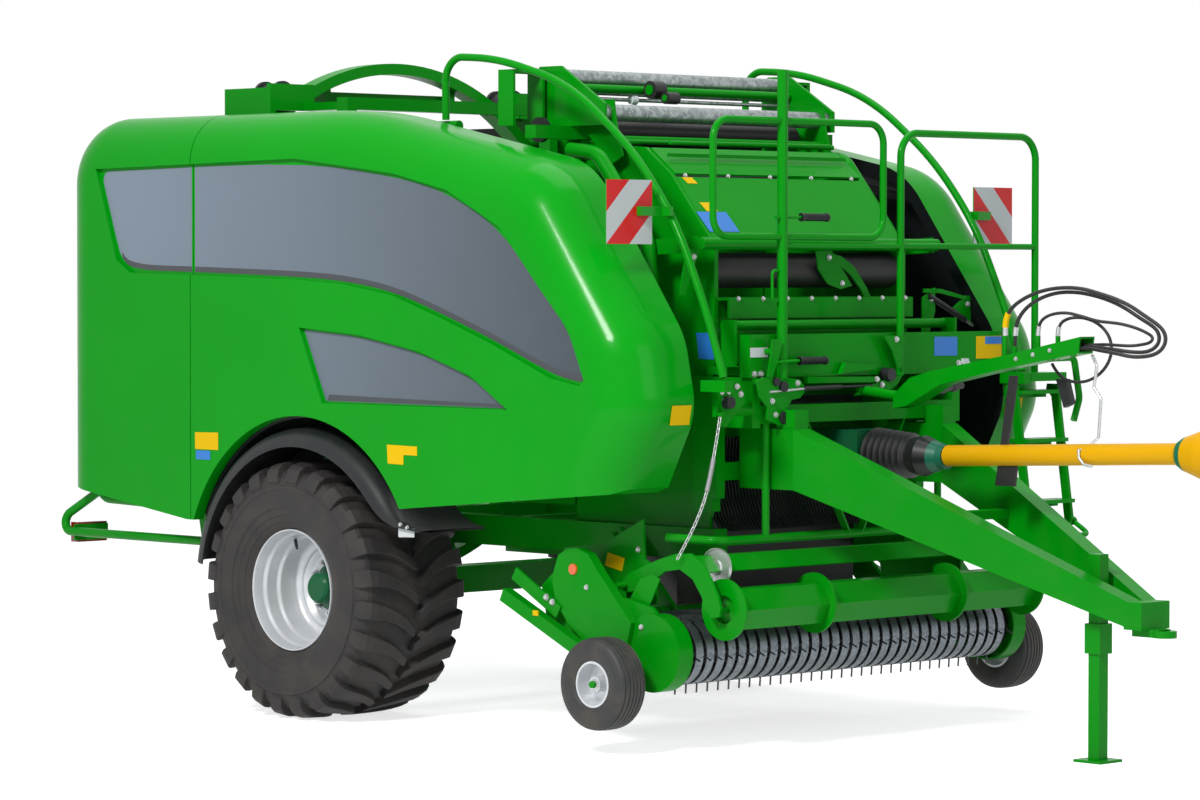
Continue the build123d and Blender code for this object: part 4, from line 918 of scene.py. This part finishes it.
# %% Blank plates
FRONT, SLOPE, NEAR, LEFT = (1, 0, 0), (0.76, 0, 0.65), (0, -1, 0), (0, 1, 0)
NOSE, PLATE_LIFT, PLATE_THICK = (1, 0, -0.18), 0.0005, 0.0015
PLATES = [
    ("warning_yellow", "machine", SLOPE,
     (1779, -588, 2541), (1779, -526, 2541), (1803, -511, 2513), (1803, -573, 2513)),
    ("warning_yellow", "machine", SLOPE,
     (1877, -575, 2426), (1877, -505, 2426), (1911, -490, 2386), (1911, -560, 2386)),
    ("plate_blue", "machine", SLOPE,
     (1913, -632, 2383), (1913, -440, 2383), (1990, -430, 2293), (1990, -622, 2293)),
    ("warning_yellow", "door_right", NOSE,
     (2309, -1185, 1531), (2309, -1065, 1531), (2293, -1065, 1445), (2293, -1185, 1445)),
    ("warning_yellow", "door_left", NOSE,
     (2309, 1065, 1531), (2309, 1185, 1531), (2293, 1185, 1445), (2293, 1065, 1445)),
    ("warning_yellow", "pickup", NEAR,
     (1755, -1032, 858), (1863, -1032, 837), (1846, -1032, 778), (1738, -1032, 799)),
    ("warning_yellow", "door_right", NEAR,
     (-663, -1442, 1338), (-489, -1442, 1341), (-489, -1442, 1257), (-663, -1442, 1257)),
    ("plate_blue", "door_right", NEAR,
     (-656, -1442, 1251), (-549, -1442, 1251), (-549, -1442, 1208), (-656, -1442, 1208)),
    ("warning_yellow", "door_right", NEAR,
     (729, -1442, 1321), (935, -1442, 1318), (935, -1442, 1276), (843, -1442, 1277), (842, -1442, 1232),
     (736, -1442, 1234)),
    ("warning_yellow", "machine", FRONT,
     (2330, 817, 1813), (2330, 1000, 1813), (2330, 1000, 1708), (2330, 817, 1708)),
    ("plate_blue", "machine", FRONT,
     (2331.6, 880, 1811), (2331.6, 998, 1811), (2331.6, 998, 1776), (2331.6, 880, 1776)),
    ("plate_blue", "machine", FRONT,
     (2330, 519, 1814), (2330, 681, 1812), (2330, 681, 1724), (2330, 519, 1726)),
    ("plate_white", "machine", FRONT,
     (2330, -716, 1778), (2330, -604, 1778), (2330, -604, 1735), (2330, -716, 1735)),
    ("plate_white", "machine", NEAR,
     (796, -1431, 939), (905, -1431, 943), (905, -1431, 903), (796, -1431, 899)),
    ("plate_blue", "machine", NEAR,
     (1928, -645, 1839), (2037, -645, 1839), (2039, -645, 1720), (1945, -645, 1722)),
]


def plate(finish, facing, *corners):
    """One blank plate, held just off the surface behind it."""
    outward = Vector(facing).normalized()
    places = [at(*corner) + outward * PLATE_LIFT for corner in corners]
    return solid("plate", add_plate, finish, places, outward * PLATE_THICK)


for body in sorted({row[1] for row in PLATES}):
    plates = [plate(finish, *form) for finish, rides, *form in PLATES if rides == body]
    settle(join(f"plates_{body}", *plates), body)

# %% [markdown]
# Bolts hold almost everything. One bolt head is a chamfered hexagon on a washer, made about the
# origin and facing the way its row faces; the row tree then walks copies along a line.

# %% Bolt heads in rows
BOLT_ROWS = [
    # body, facing, head radius, count, first, step
    ("machine", SLOPE, 0.009, 5, (1771, -560, 2550), (0, 280, 0)),
    ("machine", FRONT, 0.009, 8, (2110, -563, 1993), (0, 161, 0)),
    ("machine", SLOPE, 0.008, 5, (2035, -560, 2240), (0, 280, 0)),
    ("machine", FRONT, 0.012, 2, (2330, -690, 1660), (0, 40, 0)),
    ("machine", FRONT, 0.012, 2, (2330, 690, 1690), (0, 60, 0)),
    ("machine", FRONT, 0.013, 2, (2340, -915, 1585), (0, 42, 0)),
    ("machine", NEAR, 0.009, 2, (820, -1439, 957), (46, 0, -12)),
    ("machine", LEFT, 0.009, 2, (820, 1439, 957), (46, 0, -12)),
    ("pickup", NEAR, 0.010, 1, (1793, -1201, 712), (0, 0, 0)),
    ("pickup", NEAR, 0.010, 1, (2110, -1173, 553), (0, 0, 0)),
    ("pickup", NEAR, 0.012, 2, (1547, -1212, 655), (39, 0, -20)),
    ("pickup", NEAR, 0.010, 2, (1700, -1033, 800), (250, 0, 80)),
    ("machine", NEAR, 0.008, 3, (3300, -51, 1735), (95, 0, 20)),
]


def fill_bolt(shape, facing, size):
    """A bolt head with its washer, facing one way."""
    outward = Vector(facing).normalized() * size
    add_bar(shape, outward * 0.0, outward * 0.25, size * 1.25, 18)
    add_bar(shape, outward * 0.25, outward * 0.9, size, 6)
    add_bar(shape, outward * 0.9, outward * 1.05, size, 6, tip=size * 0.82)


def bolt_row(facing, size, count, first, step):
    """A row of bolt heads."""
    step = Vector(step) / 1000
    return grow(
        "bolts", row_tree, fill_bolt, "bright_zinc", facing, size, Count=count, First=at(*first), Step=step,
    )


for body in ("machine", "pickup"):
    rows = [bolt_row(*row) for rides, *row in BOLT_ROWS if rides == body]
    settle(join(f"bolts_{body}", *rows), body)

# %% [markdown]
# Ten nuts hold each main rim, set in a ring, and the rim also carries its valve. The gauge wheels
# have a turned zinc cap over the bearing.

# %% Wheel nuts and caps
NUT_COUNT, NUT_RING = 10, 0.131
GAUGE_CAP = [(0.0, 0.0), (0.0, 0.031), (0.040, 0.029), (0.048, 0.024), (0.051, 0.012), (0.052, 0.0)]


def fill_nut(shape, side):
    """A wheel nut with its stud, at its place above the axle."""
    for start, end, radius, sides, tip in (
        (0.0, 0.006, 0.019, 20, None), (0.006, 0.022, 0.015, 6, 0.0135), (0.022, 0.034, 0.009, 12, None),
    ):
        add_bar(shape, (0, side * start, NUT_RING), (0, side * end, NUT_RING), radius, sides, tip)


def fill_valve(shape, side):
    """A tyre valve on the inside of the rim's barrel."""
    foot = at(-112, side * (WHEEL_Y + 150), WHEEL_Z + 228)
    neck = foot + Vector((0.010, 0, -0.034))
    add_bar(shape, foot, neck, 0.008, 12)
    add_bar(shape, neck, foot + Vector((0.013, 0, -0.046)), 0.0055, 12)


def fill_gauge_cap(shape, side):
    """A closed cap turned about the gauge wheel's axle, with its points on the axle made one."""
    section = [(side * along, up) for along, up in GAUGE_CAP]
    add_turned(shape, at(GAUGE_X, side * (GAUGE_Y + 6), GAUGE_Z), section, 28, first=1)
    bmesh.ops.remove_doubles(shape, verts=shape.verts[:], dist=0.00001)


for side_name, side in SIDES.items():
    nuts = grow(
        "nuts", ring_tree, fill_nut, "bright_zinc", side, Count=NUT_COUNT,
        Centre=at(0, side * (WHEEL_Y + 4), WHEEL_Z), Phase=0.15,
    )
    nuts = join(f"wheel_nuts_{side_name}", nuts, solid("valve", fill_valve, "black_rubber", side))
    settle(nuts, f"wheel_{side_name}")
for side_name, side in SIDES.items():
    cap = solid(f"gauge_cap_{side_name}", fill_gauge_cap, "bright_zinc", side)
    smooth(cap, 0.6)
    settle(cap, f"gauge_{side_name}")

# %% [markdown]
# The guards over the main wheels are moulded: a flat crown that rolls over into a deep outer skirt,
# which dies out along the tail in front. An apron hangs from the guard's inner edge down to just
# clear of the tyre, and a dark sheet with an upright flange closes the wheel arch above. Both are
# painted shade: dark sheets put where one looks into the shaded inside of the arch.

# %% Mudguards
GUARD_X, GUARD_Z, GUARD_R, APRON_R = 75, 600, 785, 628
# The guard's section as (across, fall below the crown line).
GUARD_SECTION = [
    (1042, 1), (1290, 1), (1350, 4), (1390, 12), (1420, 27), (1438, 48), (1447, 72), (1449, 95),
    (1442, 95), (1439, 74), (1430, 53), (1414, 35), (1386, 21), (1348, 13), (1290, 10), (1042, 10),
]
# What falls further than the crown belongs to the skirt.
CROWN, GUARD_THICK = 12, 9
# The tail of the crown line as (x, z, share of the skirt's depth).
GUARD_TAIL = [
    (660, 1128, 1.0), (705, 1078, 0.95), (752, 1030, 0.8), (805, 985, 0.5), (870, 955, 0.2),
    (955, 936, 0.1),
]
ARCH_X = 95
# The arch sheet's section as (x of the centre, across, radius).
ARCH_SECTION = [
    (GUARD_X, 1045, 786), (GUARD_X, 1048, 786), (ARCH_X, 1048, 826), (ARCH_X, 1372, 826),
    (ARCH_X, 1372, 880), (ARCH_X, 1369, 880), (ARCH_X, 1369, 829), (ARCH_X, 1045, 829),
]


def fill_guard(shape, side):
    """One moulded guard, its section carried along the crown line."""
    arc = [(*on_circle(GUARD_X, GUARD_Z, GUARD_R, degrees), 1.0) for degrees in range(-81, 45, 5)]
    line, rings = arc + GUARD_TAIL, []
    for n, (x, z, deep) in enumerate(line):
        before, after = line[max(n - 1, 0)], line[min(n + 1, len(line) - 1)]
        run = Vector((after[0] - before[0], after[1] - before[1])).normalized()
        falls = [(over, fall * deep if fall > CROWN else fall) for over, fall in GUARD_SECTION]
        rings.append([at(x + run.y * fall, side * over, z - run.x * fall) for over, fall in falls])
    add_skin(shape, rings)


def fill_shade_apron(shape, side):
    """The guard's inner apron, a dark sheet that is painted shade for the view in under the guard."""
    rings = []
    for degrees in range(-66, 45, 5):
        high = on_circle(GUARD_X, GUARD_Z, GUARD_R - GUARD_THICK, degrees)
        low = on_circle(0, WHEEL_Z, APRON_R, degrees)
        corners = ((high, 1042), (low, 1042), (low, 1046), (high, 1046))
        rings.append([at(x, side * over, z) for (x, z), over in corners])
    add_skin(shape, rings)


def fill_shade_arch(shape, side):
    """The dark sheet in the wheel arch, painted shade for the shaded inside of the arch."""
    rings = []
    for degrees in range(-66, 50, 4):
        spots = [(*on_circle(x, GUARD_Z, up, degrees), over) for x, over, up in ARCH_SECTION]
        rings.append([at(x, side * over, z) for x, z, over in spots])
    add_skin(shape, rings)


guards = join("mudguards_moulded", *[
    solid("guard", fill, "black_plastic", side)
    for side in SIDES.values() for fill in (fill_guard, fill_shade_apron)
])
smooth(guards, 0.8)
settle(guards, "machine", "mudguards")
shade_arches = [solid("arch", fill_shade_arch, "black_plastic", side) for side in SIDES.values()]
settle(join("wheel_arch_sheets", *shade_arches), "machine")

# %% [markdown]
# Behind the intake guard hangs a comb of thin curved fingers, one every 21 mm. A finger is a strip
# of steel along a bend, made once and walked across the intake by the row tree. A dark pan closes
# the pickup behind the reel, clear of the tines' sweep.

# %% Comb of intake fingers and pan behind the reel
FINGER_LINE = [(1960, 1365), (1950, 1300), (1955, 1200), (1975, 1100), (2010, 1010), (2055, 945)]
FINGER_WIDE, FINGER_THICK, FINGER_STEP, FINGER_COUNT = 16, 5, 21, 61
PAN_LINE = [(1932, 574), (1926, 520), (1924, 450), (1932, 385), (1956, 325), (1988, 290)]


def fill_finger(shape):
    """One finger with its side on the plane through the origin."""
    outline = [(x + FINGER_WIDE / 2, z) for x, z in FINGER_LINE]
    outline += [(x - FINGER_WIDE / 2, z) for x, z in FINGER_LINE[::-1]]
    add_plate(shape, [(x / 1000, 0, z / 1000) for x, z in outline], (0, FINGER_THICK / 1000, 0))


comb = grow(
    "intake_fingers", row_tree, fill_finger, "dark_steel", Count=FINGER_COUNT,
    First=at(0, -FINGER_STEP * (FINGER_COUNT - 1) / 2, 0), Step=Vector((0, FINGER_STEP / 1000, 0)),
)
settle(comb, "machine")
pan_outline = PAN_LINE + [(x - 4, z - 1) for x, z in PAN_LINE[::-1]]
pan_corners = [at(x, -1080, z) for x, z in pan_outline]
settle(solid("pickup_pan", add_plate, "black_steel_and_painted_shade", pan_corners, (0, 2.160, 0)), "pickup")

# %% [markdown]
# The gate's latches, the handles, a gas strut and the brackets on the platform's front are plates,
# rods and round parts. Four tables hold them; every row starts with its finish. Grips, one plug,
# one disc and the latches' own bolts come after them.

# %% Tables of the fittings
SLOT_OF = {
    "green_paint": "green_paint", "bright_zinc": "zinc_steel", "black_plastic": "black_plastic",
    "black_rubber": "black_rubber", "plate_white": "warning_board", "warning_yellow": "warning_board",
    "reflector_orange": "lamp_plastic",
}
FRONT_SHEETS = [
    # finish, x of the front, depth towards the back, outline in y and z
    ("green_paint", 2372, 10, [
        (-717, 1629), (-671, 1647), (-516, 1643), (-437, 1633), (-391, 1587), (-437, 1551), (-490, 1544),
        (-516, 1509), (-509, 1456), (-568, 1431), (-652, 1459), (-645, 1512), (-697, 1558),
    ]),
    ("green_paint", 2350, 12, [
        (-941, 1615), (-878, 1636), (-827, 1630), (-776, 1585), (-770, 1537), (-853, 1464), (-891, 1430),
        (-929, 1439), (-916, 1500), (-941, 1554),
    ]),
    ("green_paint", 2366, 30, [(-378, 1645), (97, 1637), (118, 1612), (-372, 1615)]),
    ("green_paint", 2362, 24, [(-121, 1704), (95, 1689), (81, 1671), (-155, 1653)]),
    ("green_paint", 2362, 18, [
        (27, 1597), (218, 1634), (266, 1643), (232, 1602), (191, 1580), (74, 1569), (-54, 1553),
    ]),
    ("green_paint", 2378, 8, [
        (118, 1823), (262, 1822), (248, 1749), (241, 1676), (214, 1676), (179, 1750),
    ]),
    ("green_paint", 2384, 8, [
        (-632, 1813), (-581, 1817), (-565, 1795), (-594, 1715), (-632, 1645), (-658, 1650), (-639, 1743),
    ]),
    ("green_paint", 2060, 8, [(9, 2210), (113, 2210), (253, 2049), (174, 2034), (87, 2057), (21, 2125)]),
    ("green_paint", 2052, 10, [
        (133, 2196), (190, 2184), (275, 2137), (361, 2042), (414, 1959), (378, 1950), (320, 2035),
        (250, 2100), (188, 2136), (133, 2150),
    ]),
    ("green_paint", 2060, 8, [
        (-836, 2216), (-755, 2216), (-800, 2130), (-852, 2011), (-884, 2012), (-868, 2100),
    ]),
    ("green_paint", 2100, 10, [(704, 1992), (790, 2039), (790, 1926), (747, 1823), (704, 1833)]),
    ("green_paint", 2100, 10, [(926, 1944), (1013, 2001), (1043, 2000), (1050, 1858), (955, 1925)]),
    ("green_paint", 2104, 12, [
        (711, 2035), (826, 2034), (1013, 1996), (1013, 1980), (820, 2014), (711, 2016),
    ]),
    ("plate_white", 2346, 16, [(711, 1675), (747, 1675), (747, 1711), (711, 1711)]),
    ("green_paint", 1702, 6, [(-600, 2652), (600, 2652), (600, 2636), (-600, 2636)]),
]
SIDE_SHEETS = [
    # finish, body, y of the right face, depth to the left, outline in x and z
    ("black_plastic", "machine", 105, 30, [(3395, 1647), (3452, 1648), (3485, 1540), (3440, 1521)]),
    ("black_rubber", "machine", -6, 12, [
        (3223, 1660), (3268, 1660), (3246, 1515), (3217, 1368), (3268, 1259), (3257, 1173), (3143, 1173),
        (3160, 1259), (3177, 1368), (3200, 1515),
    ]),
    ("green_paint", "pickup", -1120, 6, [
        (2045, 757), (2120, 783), (2169, 764), (2045, 528), (1983, 467), (1920, 574),
    ]),
    ("warning_yellow", "pickup", -1254, 6, [(1500, 572), (1534, 572), (1534, 596), (1500, 596)]),
]
RODS = [
    # finish, radius, line
    ("green_paint", 7, [(2360, -591, 2354), (2360, -420, 2358)]),
    ("green_paint", 7, [(2380, -600, 1713), (2380, -450, 1718)]),
    ("bright_zinc", 6, [(2374, -637, 1581), (2374, -405, 1592)]),
    ("black_plastic", 11, [(2374, -413, 1592), (2374, -168, 1595)]),
    ("black_plastic", 6, [(2374, -170, 1595), (2374, 40, 1597)]),
    ("bright_zinc", 7, [
        (3644, 50, 1757), (3670, 50, 1710), (3655, 50, 1615), (3694, 50, 1568), (3686, 44, 1400),
        (3660, -10, 1352), (3652, -52, 1345), (3657, -54, 1315), (3684, -54, 1286), (3728, -54, 1279),
    ]),
    ("black_plastic", 14, [(2104, 740, 2002), (2104, 999, 1887)]),
    ("bright_zinc", 7, [(2104, 990, 1891), (2104, 1060, 1860)]),
    ("green_paint", 9, [(1715, -600, 2700), (1715, 470, 2705)]),
]
ROUNDS = [
    # finish, body, start, shift to the end, radius, radius at the end
    ("black_plastic", "machine", (2312, -890, 1540), (72, 0), 31, 27),
    ("black_plastic", "machine", (2340, 163, 1645), (46, 0), 33, 29),
    ("black_plastic", "machine", (2350, -544, 1466), (38, 0), 31, 27),
    ("black_plastic", "machine", (2350, -550, 1604), (38, 0), 26, 23),
    ("black_plastic", "machine", (2350, -596, 1626), (36, 0), 22, 19),
    ("green_paint", "machine", (2325, -823, 1609), (25, 0), 16, 16),
    ("green_paint", "machine", (2325, -598, 1480), (41, 0), 16, 16),
    ("green_paint", "machine", (2325, -680, 1625), (41, 0), 16, 16),
    ("green_paint", "machine", (2325, 60, 1622), (15, 0), 18, 18),
    ("green_paint", "machine", (2325, 200, 1800), (47, 0), 14, 14),
    ("green_paint", "machine", (2325, -615, 1760), (53, 0), 14, 14),
    ("green_paint", "machine", (1254, -274, 2962), (0, 7), 24, 22),
    ("green_paint", "machine", (1340, -259, 2922), (0, 7), 15, 14),
    ("plate_white", "machine", (1180, -322, 2916), (0, 32), 20, 24),
    ("reflector_orange", "pickup", (1707, -1201, 788), (0, -7), 26, 24),
    ("green_paint", "crop_guide", (2370, -960, 820), (0, 20), 26, 26),
]
# Profiles turned about Y, as (along, radius).
PLUG = [
    (-0.120, 0.002), (-0.118, 0.022), (-0.100, 0.037), (-0.070, 0.042), (-0.035, 0.038), (-0.015, 0.026),
    (0.030, 0.023), (0.034, 0.028), (0.060, 0.028), (0.064, 0.019), (0.108, 0.015), (0.110, 0.002),
]
DISC = [
    (-0.010, 0.002), (-0.010, 0.030), (-0.002, 0.036), (-0.002, 0.076), (-0.009, 0.080), (-0.009, 0.084),
    (0.009, 0.084), (0.009, 0.080), (0.004, 0.076), (0.004, 0.002),
]
GRIPS = [(2360, -420, 2358), (2380, -450, 1717)]
GRIP_LONG, GRIP_RIBS = 0.172, 12
LATCH_BOLTS = [
    (2351, -911, 1600), (2351, -823, 1609), (2351, -800, 1575), (2351, -905, 1549), (2373, -455, 1618),
    (2373, -620, 1541), (2373, -598, 1480), (2367, 80, 1626), (2363, 120, 1600), (2379, 200, 1806),
    (2061, 90, 2180), (2061, 180, 2060), (2061, -800, 2180), (2101, 760, 1985), (2101, 1020, 1960),
]
print("rows", [len(table) for table in (FRONT_SHEETS, SIDE_SHEETS, RODS, ROUNDS)])

# %% Making the fittings
def fill_grip(shape, first):
    """A ribbed hand grip on the end of a rod."""
    pitch = GRIP_LONG / GRIP_RIBS
    bars = [(0.0, GRIP_LONG, 0.0135)] + [((n + 0.3) * pitch, 0.008, 0.0175) for n in range(GRIP_RIBS)]
    for start, long, radius in bars + [(0.0, 0.012, 0.0195), (GRIP_LONG - 0.010, 0.012, 0.0195)]:
        near = first + Vector((0, start, 0))
        add_bar(shape, near, near + Vector((0, long, 0)), radius, 20)


fittings = {}


def fit(fill, finish, body, *given):
    """Makes one fitting and keeps it with the others of its body and slot."""
    fittings.setdefault((body, SLOT_OF[finish]), []).append(solid("fitting", fill, finish, *given))


for finish, face, depth, outline in FRONT_SHEETS:
    fit(add_plate, finish, "machine", [at(face, y, z) for y, z in outline], (-depth / 1000, 0, 0))
for finish, body, face, depth, outline in SIDE_SHEETS:
    fit(add_plate, finish, body, [at(x, face, z) for x, z in outline], (0, depth / 1000, 0))
for finish, radius, line in RODS:
    fit(add_rod, finish, "machine", [at(*spot) for spot in line], radius / 1000)
for finish, body, (x, y, z), (ahead, aside), radius, tip in ROUNDS:
    fit(add_bar, finish, body, at(x, y, z), at(x + ahead, y + aside, z), radius / 1000, 28, tip / 1000)
for spot in GRIPS:
    fit(fill_grip, "black_plastic", "machine", at(*spot))
fit(add_turned, "black_rubber", "machine", at(2420, 506, 1588), PLUG, 24)
fit(add_turned, "bright_zinc", "crop_guide", at(2370, -968, 820), DISC, 40)
for (body, slot), made in sorted(fittings.items()):
    settle(join(f"fittings_{body}_{slot}", *made), body)
bolts = [bolt_row(FRONT, 0.011, 1, place, (0, 0, 0)) for place in LATCH_BOLTS]
settle(join("latch_bolts", *bolts), "machine")
